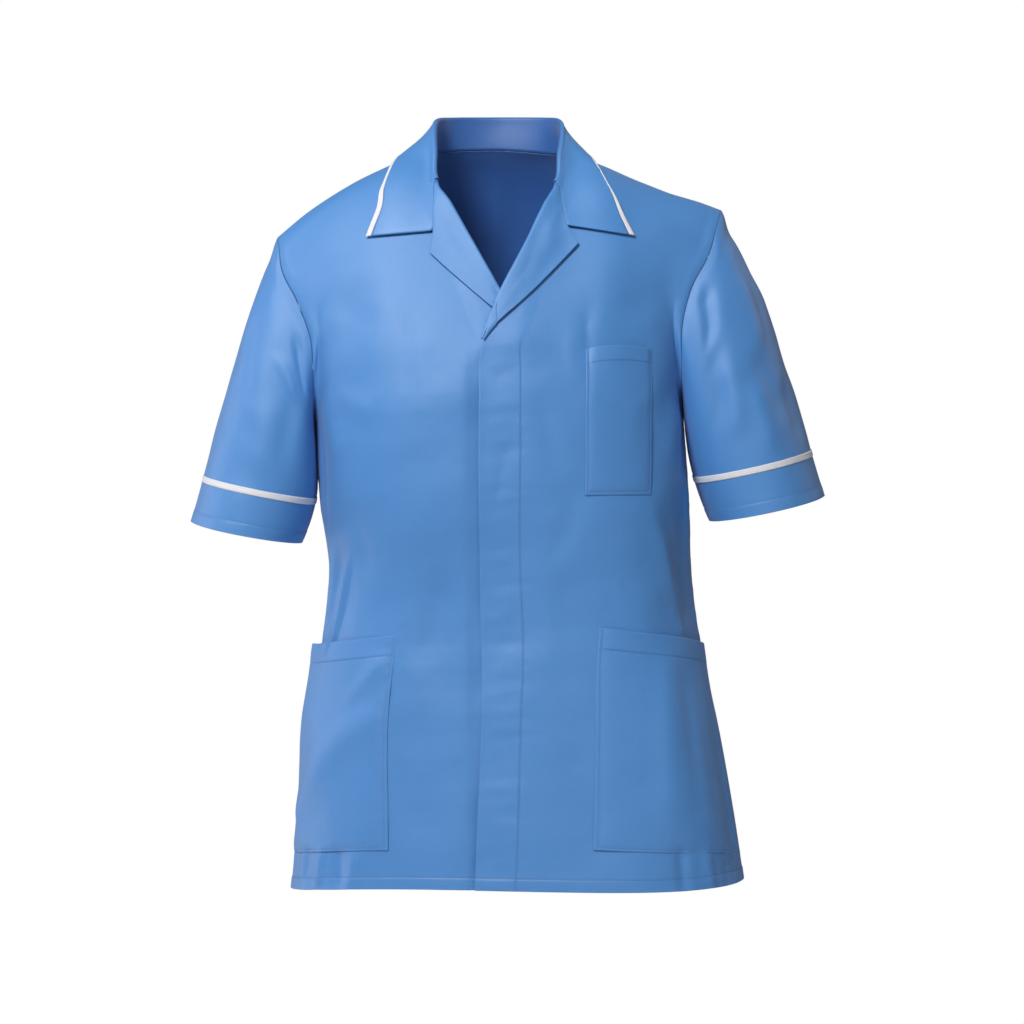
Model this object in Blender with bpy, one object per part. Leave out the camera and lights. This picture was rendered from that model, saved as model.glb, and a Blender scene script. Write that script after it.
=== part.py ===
"""Work tunic with short sleeves, in the form that it has on a wearer, with no wearer in it.

Each piece of cloth is a grid of points on one form. Level sections give the body below the
armholes. Above them, curved columns run up to the neck line and the shoulder line, and the
armhole lines bound them. Each grid gets a wall along its normals, and two pieces use the same
directions where they meet. Lengths are in millimetres until a mesh is made. x points to the
wearer's left, y to the back and z up, and the origin is between the shoulders, level with the
neck seam.
"""

from typing import NamedTuple

import bpy
import numpy as np
from mathutils import Vector
from mathutils.bvhtree import BVHTree

MM = 0.001

# Cloth and sewing
CLOTH_WALL = 1.4
COLLAR_WALL = 1.6
LAPEL_WALL = 1.2
POCKET_WALL = 1.1
TRIM_WALL = 1.0
SEAM_GAP = 0.3
ARMHOLE_GAP = 0.6

# Signs for the two sides of the body and for its front and back
RIGHT, LEFT = -1, 1
FRONT, BACK = 1, -1


class Section(NamedTuple):
    """A level section of the body: its silhouette, its depths and its turn in degrees."""

    level: float
    right: float
    left: float
    front: float
    back: float
    turn: float


SECTIONS = (
    Section(-757, -213.0, 250.5, 134, 118, 10.0),
    Section(-663, -204.5, 236.0, 130, 114, 9.0),
    Section(-581, -196.5, 221.0, 126, 108, 8.0),
    Section(-520, -184.0, 207.5, 122, 103, 7.0),
    Section(-480, -175.5, 201.0, 120, 100, 6.0),
    Section(-438, -172.5, 196.0, 121, 102, 5.0),
    Section(-357, -183.0, 193.0, 127, 115, 2.0),
    Section(-240, -189.0, 185.0, 128, 122, 0.0),
)
SQUARENESS = 0.12

# Levels of the hem, and of the row where the columns begin
HEM_SIDE, HEM_SIDE_TILT = -748.0, 8.0
HEM_FRONT, HEM_BACK = -740.0, -757.0
CHEST_LEVEL, CHEST_TILT = -267.0, 11.0


class Station(NamedTuple):
    """A point of a line, at its share of the way from the centre (0) to an armhole (1)."""

    share: float
    x: float
    y: float
    z: float


NECK_SHARE = 0.30
NECK_POINT_SHARE = 0.24
SHOULDER = {
    RIGHT: (
        Station(0.30, -72.0, 6, 4.0),
        Station(0.46, -107.5, 6, -14.4),
        Station(0.63, -144.0, 6, -31.8),
        Station(0.79, -180.4, 6, -54.4),
        Station(0.90, -203.0, 6, -70.0),
        Station(1.00, -225.7, 6, -89.0),
    ),
    LEFT: (
        Station(0.30, 72.0, 6, -4.0),
        Station(0.46, 108.1, 6, -18.0),
        Station(0.63, 144.0, 6, -33.2),
        Station(0.79, 178.6, 6, -46.8),
        Station(0.90, 202.1, 6, -53.0),
        Station(1.00, 225.4, 6, -61.5),
    ),
}
NECK = {
    FRONT: (
        Station(-0.30, -72.0, 6, 4.0),
        Station(-0.27, -69.5, -20, -15.0),
        Station(-0.24, -63.5, -45, -36.0),
        Station(-0.21, -56.5, -52, -40.5),
        Station(-0.12, -35.0, -62, -50.0),
        Station(0.00, -2.0, -69, -58.0),
        Station(0.12, 31.0, -62, -51.0),
        Station(0.21, 50.5, -52, -43.0),
        Station(0.24, 57.0, -45, -38.5),
        Station(0.27, 67.0, -20, -19.0),
        Station(0.30, 72.0, 6, -4.0),
    ),
    BACK: (
        Station(-0.30, -72.0, 6, 4.0),
        Station(-0.22, -62.0, 34, -1.0),
        Station(-0.12, -38.0, 55, 1.0),
        Station(0.00, 0.0, 63, 2.0),
        Station(0.12, 37.0, 55, -1.0),
        Station(0.22, 60.0, 34, -4.0),
        Station(0.30, 72.0, 6, -4.0),
    ),
}

# Armhole lines between the underarm (0) and the shoulder (1)
ARMHOLE = {
    (FRONT, RIGHT): (
        Station(0.15, -187.5, -35, -261),
        Station(0.30, -187.0, -53, -226),
        Station(0.45, -190.0, -53, -192),
        Station(0.60, -203.0, -42, -157),
        Station(0.80, -220.5, -20, -124),
    ),
    (FRONT, LEFT): (
        Station(0.15, 184.5, -34, -243),
        Station(0.30, 183.0, -52, -212),
        Station(0.45, 184.0, -54, -178),
        Station(0.60, 193.0, -46, -143),
        Station(0.80, 213.0, -26, -107),
    ),
    (BACK, RIGHT): (
        Station(0.15, -190.0, 35, -262),
        Station(0.30, -192.0, 54, -228),
        Station(0.45, -197.0, 57, -192),
        Station(0.60, -207.0, 47, -157),
        Station(0.80, -220.0, 25, -121),
    ),
    (BACK, LEFT): (
        Station(0.15, 188.0, 35, -241),
        Station(0.30, 190.0, 54, -209),
        Station(0.45, 196.0, 57, -174),
        Station(0.60, 206.0, 47, -137),
        Station(0.80, 218.0, 25, -94),
    ),
}


class Reach(NamedTuple):
    """How far a column's ends are pulled, at its share of the way to the armhole.

    The foot is pulled up and, near the armhole, away from the side seam. The head is pulled
    down and away from the shoulder seam.
    """

    share: float
    foot_up: float
    foot_away: float
    head_away: float
    head_down: float


REACHES = {
    FRONT: (
        Reach(0.00, 60, 0, 20, 50),
        Reach(0.24, 70, 0, 34, 44),
        Reach(0.30, 75, 0, 52, 16),
        Reach(0.60, 75, 0, 64, 4),
        Reach(0.85, 60, 18, 58, 18),
        Reach(1.00, 22, 62, 46, 52),
    ),
    BACK: (
        Reach(0.00, 85, 0, 32, 42),
        Reach(0.24, 85, 0, 44, 24),
        Reach(0.30, 85, 0, 54, 12),
        Reach(0.60, 80, 0, 66, 4),
        Reach(0.85, 62, 18, 58, 18),
        Reach(1.00, 22, 62, 46, 52),
    ),
}
ARMHOLE_BLEND = 0.45


class Edge(NamedTuple):
    """Where a front ends at a level: its straight edge, and its roll line above that."""

    level: float
    x: float


FRONT_EDGE = {
    LEFT: (
        Edge(-745, -23.8),
        Edge(-550, -16.9),
        Edge(-412, -18.8),
        Edge(-254, -19.5),
        Edge(-205, -17.5),
        Edge(-180, -10.0),
        Edge(-146, 4.5),
        Edge(-94, 30.5),
        Edge(-38.5, 57.0),
    ),
    RIGHT: (
        Edge(-745, 16.5),
        Edge(-550, 23.5),
        Edge(-412, 21.5),
        Edge(-254, 20.5),
        Edge(-188, 20.0),
        Edge(-172, 13.5),
        Edge(-146, -1.0),
        Edge(-94, -30.5),
        Edge(-36, -63.5),
    ),
}

# Rises over which a roll line is led to the neck point
EDGE_TOP = (0.92, 0.99)

# The left front laps over the right one, and over the right lapel near the roll lines.
LAP_LIFT = 1.0
LAP_FADE = (22.0, 70.0)
CROSSING_LIFT = 4.6
CROSSING_LEVELS = (-230.0, -185.0)


class SleeveHem(NamedTuple):
    """The oval at a sleeve's hem, by its outer and inner points and its front to back depth."""

    outer: tuple
    inner: tuple
    depth: float
    front_drop: float


SLEEVE_HEM = {
    RIGHT: SleeveHem((-317.5, 2.0, -377.5), (-201.5, 0.0, -400.0), 70.0, 1.5),
    LEFT: SleeveHem((334.5, 2.0, -351.0), (214.0, 0.0, -377.5), 70.0, 2.5),
}


class Drop(NamedTuple):
    """How a sleeve's line leaves the armhole and meets the hem.

    The turn runs from the underarm (0) to the top (1). The line is pulled out, ahead and down
    at the armhole, and in towards the body and up at the hem.
    """

    turn: float
    out: float
    ahead: float
    down: float
    hem_in: float
    hem_up: float


DROPS = {
    RIGHT: (
        Drop(0.00, 0.5, 0, 32, 27, 56),
        Drop(0.15, 2.5, 3, 31, 30, 56),
        Drop(0.30, 10.0, 9, 36, 32, 69),
        Drop(0.45, 18.0, 13, 28, 35, 92),
        Drop(0.60, 26.0, 18, 26, 30, 96),
        Drop(0.80, 30.0, 15, 34, 30, 105),
        Drop(1.00, 31.0, 0, 44, 35, 115),
    ),
    LEFT: (
        Drop(0.00, 2.0, 0, 29, 24, 51),
        Drop(0.15, 3.0, 3, 30, 28, 56),
        Drop(0.30, 10.0, 9, 34, 30, 68),
        Drop(0.45, 18.0, 13, 27, 34, 90),
        Drop(0.60, 27.0, 18, 24, 32, 94),
        Drop(0.80, 38.0, 15, 25, 32, 102),
        Drop(1.00, 38.0, 0, 27, 36, 108),
    ),
}
SLEEVE_CLEARANCE = 1.5
SLEEVE_NEAR_TURN = 0.62
SLEEVE_SETTLE = (0.0, 0.25)
TAPE_RISE = 43.0
TAPE_WIDTH = 6.5


class Place(NamedTuple):
    """A corner of a pocket or a lapel, as seen from the front."""

    x: float
    z: float


# Corners in the order bottom inner, bottom outer, top inner, top outer
CHEST_POCKET = (
    Place(85.0, -348.0),
    Place(150.5, -348.0),
    Place(87.0, -201.5),
    Place(151.5, -202.5),
)


class HipPocket(NamedTuple):
    """A pocket sewn into a side seam: the x of its inner edge, its levels and its gape."""

    top_x: float
    top: float
    bottom_x: float
    bottom: float
    seam_top: float
    seam_bottom: float
    gape: float


HIP_POCKET = {
    RIGHT: HipPocket(-101.0, -488.5, -110.0, -702.5, -508.0, -718.0, 8.0),
    LEFT: HipPocket(99.5, -480.0, 93.0, -698.0, -503.0, -710.0, 2.5),
}
POCKET_GAP = 0.9
POCKET_LIFT = POCKET_GAP + POCKET_WALL
CHEST_GAPE = 0.8
GAPE_DEPTH = 0.3

# Lapels: the outer edge from the tip to the break, and the notch on the seam to the collar
LAPEL_LIFTS = (3.4, 2.4)
LAPEL_EDGE = {
    RIGHT: ((0.0, -68.5, -109.0), (0.5, -36.5, -137.5), (1.0, 16.0, -181.0)),
    LEFT: ((0.0, 78.6, -99.3), (0.4, 40.5, -140.0), (0.8, -2.0, -175.0), (1.0, -11.5, -192.0)),
}
LAPEL_NOTCH = {RIGHT: Place(-65.5, -86.0), LEFT: Place(67.0, -81.0)}
LAPEL_NOTCH_SHARE = 0.66
ROLL_GAP = 1.1
LAPEL_BREAK = {RIGHT: -178.0, LEFT: -197.0}
LAPEL_TOP_RISE = 0.965


class FoldStation(NamedTuple):
    """A point of the collar's fold at its share of the way round the neck."""

    way: float
    x: float
    y: float
    z: float


COLLAR_FOLD = (
    FoldStation(0.00, -62.5, -46, -36.5),
    FoldStation(0.07, -64.8, -26, -6.0),
    FoldStation(0.14, -66.0, -8, 13.0),
    FoldStation(0.21, -66.0, 8, 25.0),
    FoldStation(0.28, -63.5, 28, 32.0),
    FoldStation(0.38, -47.0, 54, 35.0),
    FoldStation(0.50, -0.5, 68, 36.0),
    FoldStation(0.62, 46.0, 54, 35.0),
    FoldStation(0.72, 61.0, 28, 31.5),
    FoldStation(0.79, 63.5, 8, 24.0),
    FoldStation(0.86, 63.0, -8, 11.0),
    FoldStation(0.93, 60.0, -26, -8.0),
    FoldStation(1.00, 56.0, -46, -39.0),
)


class StyleStation(NamedTuple):
    """A point of the collar's outer edge, by its place on the body under it.

    share is as on the body's form. over is the rise up the front (0 to 1), and beyond the
    shoulder seam (1) the way down the back.
    """

    way: float
    share: float
    over: float


COLLAR_STYLE = (
    StyleStation(0.00, -0.534, 0.587),
    StyleStation(0.05, -0.497, 0.675),
    StyleStation(0.10, -0.495, 0.745),
    StyleStation(0.14, -0.480, 0.80),
    StyleStation(0.19, -0.463, 0.88),
    StyleStation(0.25, -0.440, 1.00),
    StyleStation(0.30, -0.410, 1.05),
    StyleStation(0.35, -0.360, 1.09),
    StyleStation(0.40, -0.285, 1.11),
    StyleStation(0.45, -0.150, 1.105),
    StyleStation(0.50, 0.000, 1.10),
    StyleStation(0.55, 0.150, 1.105),
    StyleStation(0.60, 0.270, 1.11),
    StyleStation(0.65, 0.330, 1.09),
    StyleStation(0.70, 0.365, 1.05),
    StyleStation(0.75, 0.385, 1.00),
    StyleStation(0.81, 0.412, 0.88),
    StyleStation(0.86, 0.450, 0.77),
    StyleStation(0.90, 0.480, 0.71),
    StyleStation(0.95, 0.513, 0.645),
    StyleStation(1.00, 0.560, 0.587),
)
COLLAR_NOTCH = {RIGHT: Place(-66.7, -86.5), LEFT: Place(68.2, -81.0)}
COLLAR_NOTCH_SHARE = 0.42
COLLAR_END_BLEND = 0.16
COLLAR_STAND_GAP = 0.8
COLLAR_FOLD_RADIUS = 2.3
COLLAR_LIFT = 3.4
PIPING_WIDTH = 5.5
COLLAR_START_SHARE = 0.242
COLLAR_END_OUT = (0.6, -0.62, 0.5)
COLLAR_END_RISE = 2.0
COLLAR_END_ASIDE = {RIGHT: 1.7, LEFT: 1.3}
STYLE_BACK = (0.2, 0.3)
STYLE_EASINGS = 30
COLLAR_TURN = 0.09
COLLAR_JOIN = 0.08
COLLAR_EASINGS = 6
FALL_DROP = 0.5
FALL_REST = 0.3


class Crease(NamedTuple):
    """A fold of the cloth between two points, each an arc from the centre and a level.

    Its height is positive for a ridge and negative for a trough. Its bow bends it sideways.
    """

    face: int
    arc_from: float
    level_from: float
    arc_to: float
    level_to: float
    width: float
    height: float
    bow: float


QUARTER_GIRTH = 262.0
CREASES = (
    Crease(FRONT, -192, -395, -212, -520, 24, 4.5, 6),
    Crease(FRONT, -150, -310, -205, -262, 22, 3.0, 4),
    Crease(FRONT, -235, -540, -120, -700, 28, 3.0, -12),
    Crease(FRONT, 170, -310, 215, -262, 22, 3.0, -4),
    Crease(FRONT, 120, -540, 205, -720, 30, 3.0, 10),
    Crease(FRONT, 205, -330, 228, -480, 24, -3.5, 6),
    Crease(FRONT, -60, -480, -95, -735, 30, 2.5, 6),
    Crease(BACK, -150, -300, -110, -560, 28, 4.5, 8),
    Crease(BACK, 150, -290, 120, -540, 26, 4.0, -8),
    Crease(BACK, -60, -430, -90, -740, 30, 4.0, 6),
    Crease(BACK, 70, -470, 95, -745, 32, 4.5, -8),
    Crease(BACK, 10, -520, 0, -750, 28, -3.0, 5),
    Crease(BACK, -205, -340, -185, -240, 24, 3.5, -5),
    Crease(BACK, 205, -330, 185, -230, 24, 3.5, 5),
)

# A fold's ends fade over these parts of its length, and it fades out at the seams
CREASE_START, CREASE_END = (-0.12, 0.3), (0.7, 1.12)
CREASE_SIDE, CREASE_TOP = (0.86, 0.98), (0.9, 1.0)

# Length of a column of the body, and how far beside a surface a point still counts as over it
COLUMN_LENGTH = 190.0
BESIDE_EDGE = 0.3

# Step in share and rise for slopes, and rounds and largest moves of the searches on the form
SLOPE_STEP = 1e-3
EDGE_ROUNDS, EDGE_MOVE = 12, 0.1
PLACE_ROUNDS, PLACE_MOVE = 20, 0.2
GIRTH_GUESS, BELOW_GUESS, ABOVE_GUESS = 200.0, 480.0, 200.0

# Where a place counts as on a seam, and where the shoulder's rims turn towards the sleeve's
ON_SEAM = 0.998
ARM_TURN = (0.85, 0.998)

# Rims are cut in triangles along this direction, so that those of two pieces run together.
RIM_SLANT = (0.2, 0.3, 0.9)

# Colours, as linear red, green and blue
BLUE = (0.098, 0.292, 0.665)
WHITE = (0.83, 0.84, 0.86)

# Lines and rows of the grids
LOWER_ROWS, UPPER_ROWS = 20, 14
FRONT_LINES, BACK_LINES = 19, 30
ROW_CLOSENESS, FRONT_CLOSENESS, BACK_CLOSENESS = 0.05, 0.09, 0.2
TREE_ROWS, TREE_COLUMNS = 90, 40
CLOSE_ROWS, CLOSE_COLLAR = 41, 73
SLEEVE_ROWS, TAPE_ROWS = 9, 2
LAPEL_LINES, LAPEL_ROWS, ROLL_STEPS = 7, 14, 5
NECK_POINTS = 12
FOLD_STEPS, STAND_ROWS, FALL_ROWS, COLLAR_LINES = 6, 2, 7, 36
PIPING_ROWS = 3
POCKET_LINES, POCKET_ROWS, CHEST_LINES = 9, 11, 7


def smooth_step(low, high, value):
    """Zero below low, one above high, and a smooth rise between them."""
    share = np.clip((value - low) / (high - low), 0.0, 1.0)
    return share * share * (3.0 - 2.0 * share)


def spline(rows, at):
    """The other columns of a table, read smoothly at places along its first column."""
    table = np.array(rows, float)
    keys, values = table[:, 0], table[:, 1:]
    slopes = np.gradient(values, keys, axis=0)
    at = np.clip(np.asarray(at, float), keys[0], keys[-1])
    cell = np.clip(np.searchsorted(keys, at, side="right") - 1, 0, len(keys) - 2)
    width = (keys[cell + 1] - keys[cell])[..., None]
    u = (at[..., None] - keys[cell][..., None]) / width
    low, high = values[cell], values[cell + 1]
    return (
        low * (1 + 2 * u) * (1 - u) ** 2
        + high * u * u * (3 - 2 * u)
        + slopes[cell] * width * u * (1 - u) ** 2
        - slopes[cell + 1] * width * u * u * (1 - u)
    )


def unit(vectors):
    """Vectors scaled to length one."""
    return vectors / np.maximum(np.linalg.norm(vectors, axis=-1, keepdims=True), 1e-9)


def bezier(start, first, second, end, u):
    """Points of cubic curves with the given start, handles and end."""
    u = np.asarray(u)[..., None]
    return (
        start * (1 - u) ** 3
        + first * 3 * u * (1 - u) ** 2
        + second * 3 * u * u * (1 - u)
        + end * u**3
    )


def ring(share, level, face):
    """The body's section at a level, from the centre (0) to a side seam (1 or -1)."""
    right, left, front, back, turn = np.moveaxis(spline(SECTIONS, level), -1, 0)
    depth = front if face == FRONT else back
    turn = np.radians(turn)
    mean_depth = (front + back) / 2
    half = np.sqrt(((left - right) / 2) ** 2 - (mean_depth * np.sin(turn)) ** 2)
    half = half / np.cos(turn)
    angle = np.radians(90 * share)
    across = half * np.sin(angle) * (1 + SQUARENESS * np.cos(angle) ** 2)
    deep = -face * depth * np.cos(angle) * (1 + SQUARENESS * np.sin(angle) ** 2)
    x = across * np.cos(turn) + deep * np.sin(turn) + (left + right) / 2
    y = deep * np.cos(turn) - across * np.sin(turn)
    return np.stack([x, y, level + 0 * x], axis=-1)


def chest_level(share):
    """Level of the row where the columns begin, higher on the wearer's left."""
    return CHEST_LEVEL + CHEST_TILT * np.sin(np.radians(90 * share))


def hem_level(share, face):
    """Level of the hem."""
    angle = np.radians(90 * share)
    side = HEM_SIDE + HEM_SIDE_TILT * np.sin(angle)
    centre = HEM_FRONT if face == FRONT else HEM_BACK
    return side + (centre - side) * np.cos(angle) ** 2


def top_line(share, face):
    """Neck line near the centre and shoulder line from there to each armhole."""
    share = np.asarray(share, float)
    points = spline(NECK[face], share)
    for side in (RIGHT, LEFT):
        shoulder = spline(SHOULDER[side], np.abs(share))
        points = np.where((share * side > NECK_SHARE)[..., None], shoulder, points)
    return points


def armhole_line(rise, face, side):
    """Armhole from the underarm (0) to the shoulder (1)."""
    share = np.array(float(side))
    underarm = ring(share, chest_level(share), face)
    rows = (
        Station(0.0, *underarm),
        *ARMHOLE[face, side],
        Station(1.0, *SHOULDER[side][-1][1:]),
    )
    return spline(rows, rise)


def column(share, rise, face):
    """Points of the columns between the chest row (0) and the top line (1)."""
    foot = ring(share, chest_level(share), face)
    lean = foot - ring(share, chest_level(share) - 1.0, face)
    up, away, head_away, head_down = np.moveaxis(
        spline(REACHES[face], np.abs(share)), -1, 0
    )
    none = np.zeros_like(up)
    foot_handle = lean * up[..., None] + np.stack([none, -face * away, none], axis=-1)
    head_handle = np.stack([none, -face * head_away, -head_down], axis=-1)
    head = top_line(share, face)
    return bezier(foot, foot + foot_handle, head + head_handle, head, rise)


def torso(share, rise, face):
    """The body's form, from the hem (rise -1) past the chest row (0) to the top line (1)."""
    share, rise = np.broadcast_arrays(
        np.asarray(share, float), np.asarray(rise, float)
    )
    hem = hem_level(share, face)
    low = np.minimum(rise, 0.0)
    level = hem + (chest_level(share) - hem) * (low + 1.0)
    high = np.maximum(rise, 0.0)
    upper = column(share, high, face)
    for side in (RIGHT, LEFT):
        edge = column(np.full_like(share, side), high, face)
        near = smooth_step(ARMHOLE_BLEND, 1.0, share * side)
        upper = upper + (armhole_line(high, face, side) - edge) * near[..., None]
    return np.where((rise < 0)[..., None], ring(share, level, face), upper)


def torso_normal(share, rise, face):
    """Unit normals of the body's form, pointing out."""
    step = SLOPE_STEP
    across = torso(share + step, rise, face) - torso(share - step, rise, face)
    top = np.minimum(rise + step, 1.0)
    along = torso(share, top, face) - torso(share, top - 2 * step, face)
    return unit(np.cross(across, along)) * face


def lap_lift(points, side):
    """How far the fronts are moved apart where they lap over each other."""
    x, z = points[..., 0], points[..., 2]
    near = 1.0 - smooth_step(*LAP_FADE, x * side)
    crossing = smooth_step(*CROSSING_LEVELS, z)
    return side * near * (LAP_LIFT + CROSSING_LIFT * crossing * (side == LEFT))


def front_cloth(share, rise, side, lift=0.0):
    """Outer face of a front, or points at a height above it."""
    points = torso(share, rise, FRONT)
    height = crease_height(share, rise, FRONT) + lap_lift(points, side) + lift
    return points + torso_normal(share, rise, FRONT) * np.asarray(height)[..., None]


def back_cloth(share, rise, lift=0.0):
    """Outer face of the back, or points at a height above it."""
    height = crease_height(share, rise, BACK) + lift
    return torso(share, rise, BACK) + torso_normal(share, rise, BACK) * height[..., None]


def front_edge_share(rise, side):
    """Share of the way at which a front's edge or roll line crosses a row."""
    share = np.zeros_like(rise)
    for _ in range(EDGE_ROUNDS):
        here = torso(share, rise, FRONT)
        beside = torso(share + SLOPE_STEP, rise, FRONT)
        gap = spline(FRONT_EDGE[side], here[..., 2])[..., 0] - here[..., 0]
        gap_beside = spline(FRONT_EDGE[side], beside[..., 2])[..., 0] - beside[..., 0]
        slope = (gap_beside - gap) / SLOPE_STEP
        share = share - np.clip(gap / slope, -EDGE_MOVE, EDGE_MOVE)
    return share + (side * NECK_POINT_SHARE - share) * smooth_step(*EDGE_TOP, rise)


def locate(x, z):
    """Shares and rises at which the front's form has the given x and z."""
    share = np.asarray(x, float) / GIRTH_GUESS
    height = z - CHEST_LEVEL
    rise = np.where(height < 0, height / BELOW_GUESS, height / ABOVE_GUESS)
    step = SLOPE_STEP / 10
    for _ in range(PLACE_ROUNDS):
        here = torso(share, rise, FRONT)
        in_share = (torso(share + step, rise, FRONT) - here) / step
        in_rise = (torso(share, rise + step, FRONT) - here) / step
        miss_x, miss_z = x - here[..., 0], z - here[..., 2]
        cross = in_share[..., 0] * in_rise[..., 2] - in_rise[..., 0] * in_share[..., 2]
        move_share = (miss_x * in_rise[..., 2] - miss_z * in_rise[..., 0]) / cross
        move_rise = (miss_z * in_share[..., 0] - miss_x * in_share[..., 2]) / cross
        share = share + np.clip(move_share, -PLACE_MOVE, PLACE_MOVE)
        rise = rise + np.clip(move_rise, -PLACE_MOVE, PLACE_MOVE)
    return share, rise


def crease_height(share, rise, face):
    """Sum of the folds at places on the body's form."""
    points = torso(share, rise, face)
    arc = share * QUARTER_GIRTH
    level = points[..., 2]
    height = np.zeros_like(arc)
    for crease in CREASES:
        if crease.face != face:
            continue
        start = np.array([crease.arc_from, crease.level_from])
        run = np.array([crease.arc_to, crease.level_to]) - start
        length = np.hypot(*run)
        along = ((arc - start[0]) * run[0] + (level - start[1]) * run[1]) / length**2
        aside = ((arc - start[0]) * run[1] - (level - start[1]) * run[0]) / length
        aside = aside - crease.bow * np.sin(np.pi * np.clip(along, 0, 1))
        ends = smooth_step(*CREASE_START, along) * (1 - smooth_step(*CREASE_END, along))
        height = height + crease.height * ends * np.exp(-((aside / crease.width) ** 2))
    at_side = smooth_step(*CREASE_SIDE, np.abs(share))
    at_top = smooth_step(*CREASE_TOP, rise)
    return height * (1 - at_side) * (1 - at_top)


def sleeve_handles(rise, face, side):
    """How a sleeve's lines are pulled at the armhole and at the hem."""
    out, ahead, fall, hem_in, hem_up = np.moveaxis(spline(DROPS[side], rise), -1, 0)
    start = np.stack([side * out, -face * ahead, -fall], axis=-1)
    return start, np.stack([-side * hem_in, 0 * hem_in, hem_up], axis=-1)


def sleeve_start(rise, face, side):
    """At the armhole, the way into the sleeve square to the seam, and the sleeve's normal."""
    ways, normals = 0.0, 0.0
    shared = smooth_step(*ARM_TURN, rise)[..., None] / 2
    for one in (FRONT, BACK):
        ahead = armhole_line(np.minimum(rise + SLOPE_STEP, 1), one, side)
        behind = armhole_line(np.maximum(rise - SLOPE_STEP, 0), one, side)
        tangent = unit(ahead - behind)
        handle = sleeve_handles(rise, one, side)[0]
        way = handle - tangent * (handle * tangent).sum(axis=-1, keepdims=True)
        share = np.where((face == one)[..., None], 1 - shared, shared)
        ways = ways + unit(way) * share
        normals = normals - side * one * unit(np.cross(tangent, handle)) * share
    return unit(ways), unit(normals)


def sleeve_form(turn, down, side):
    """A sleeve's outer face, turning from the underarm (0) over the front and the top (1).

    It runs down from the armhole (0) to the hem (1).
    """
    rise = np.where(turn > 1, 2 - turn, turn)
    face = np.where(turn > 1, BACK, FRONT)
    start = np.where(
        (turn > 1)[..., None],
        armhole_line(rise, BACK, side),
        armhole_line(rise, FRONT, side),
    )
    start_handle, hem_handle = sleeve_handles(rise, face, side)
    hem = SLEEVE_HEM[side]
    outer, inner = np.array(hem.outer), np.array(hem.inner)
    angle = (np.pi * turn)[..., None]
    ahead_axis = np.array([0.0, -hem.depth, -hem.front_drop])
    end = (outer + inner) / 2 + (inner - outer) / 2 * np.cos(angle)
    end = end + ahead_axis * np.sin(angle)
    start = start + sleeve_start(rise, face, side)[0] * ARMHOLE_GAP
    return bezier(start, start + start_handle, end + hem_handle, end, down)


def grid_faces(across, along, closed, facing):
    """Corners of each face of a grid, and closed ones join the last line to the first."""
    lines = np.arange(across if closed else across - 1)[:, None]
    rows = np.arange(along - 1)[None, :]
    here = lines * along + rows
    beside = (lines + 1) % across * along + rows
    faces = np.stack([here, beside, beside + 1, here + 1], axis=-1).reshape(-1, 4)
    return faces[:, ::facing]


def grid_tree(grid, facing):
    """Search tree of the surface through a grid of points, with its faces turned out."""
    faces = grid_faces(*grid.shape[:2], False, facing)
    return BVHTree.FromPolygons(grid.reshape(-1, 3).tolist(), faces.tolist())


def torso_trees():
    """Search trees of the two fronts and the back."""
    rise = np.linspace(-1, 1, TREE_ROWS)
    trees = [
        grid_tree(front_panel(side, np.linspace(0, 1, TREE_COLUMNS), rise)[0], side)
        for side in (RIGHT, LEFT)
    ]
    trees.append(grid_tree(back_panel(np.linspace(-1, 1, 2 * TREE_COLUMNS), rise)[0], BACK))
    return trees


def nearest(point, trees):
    """The nearest place on the body's outer face and the direction out of the cloth there."""
    found = min((tree.find_nearest(point) for tree in trees), key=lambda hit: hit[3])
    return found[0], found[1]


def keep_off(grid, clearance, trees):
    """Moves points out of the body so that each is at least its clearance away from it."""
    moved = grid.copy()
    clearance = np.broadcast_to(clearance, grid.shape[:-1])
    for index in np.ndindex(grid.shape[:-1]):
        point = Vector(grid[index])
        place, normal = nearest(point, trees)
        height = (point - place).dot(normal)
        beside = (point - place - normal * height).length
        if height < clearance[index] and beside < BESIDE_EDGE + abs(height) / 2:
            moved[index] = point + normal * (clearance[index] - height)
    return moved


def relax(grid, share):
    """Each inner point moved by a share of the way to the mean of its four neighbours."""
    eased = grid.copy()
    mean = (grid[2:, 1:-1] + grid[:-2, 1:-1] + grid[1:-1, 2:] + grid[1:-1, :-2]) / 4
    eased[1:-1, 1:-1] += (mean - grid[1:-1, 1:-1]) * share
    return eased


def at_distances(lines, distances):
    """Points of each line at the given distances from its last point."""
    steps = np.linalg.norm(np.diff(lines, axis=1), axis=-1)
    back = np.cumsum(steps[:, ::-1], axis=1)
    back = np.concatenate([np.zeros((len(lines), 1)), back], axis=1)
    places = np.empty((*distances.shape, 3))
    for row, line in enumerate(lines):
        for axis in range(3):
            places[row, :, axis] = np.interp(distances[row], back[row], line[::-1, axis])
    return places


def lengths(lines):
    """Length of each line of points."""
    return np.linalg.norm(np.diff(lines, axis=1), axis=-1).sum(axis=1)


def grid_normals(grid, facing, closed=False):
    """Unit normals of the surface through a grid, turned out by facing."""
    around = np.concatenate([grid[-1:], grid, grid[:1]]) if closed else grid
    normals = unit(np.cross(np.gradient(around, axis=0), np.gradient(around, axis=1)))
    return facing * (normals[1:-1] if closed else normals)


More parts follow.
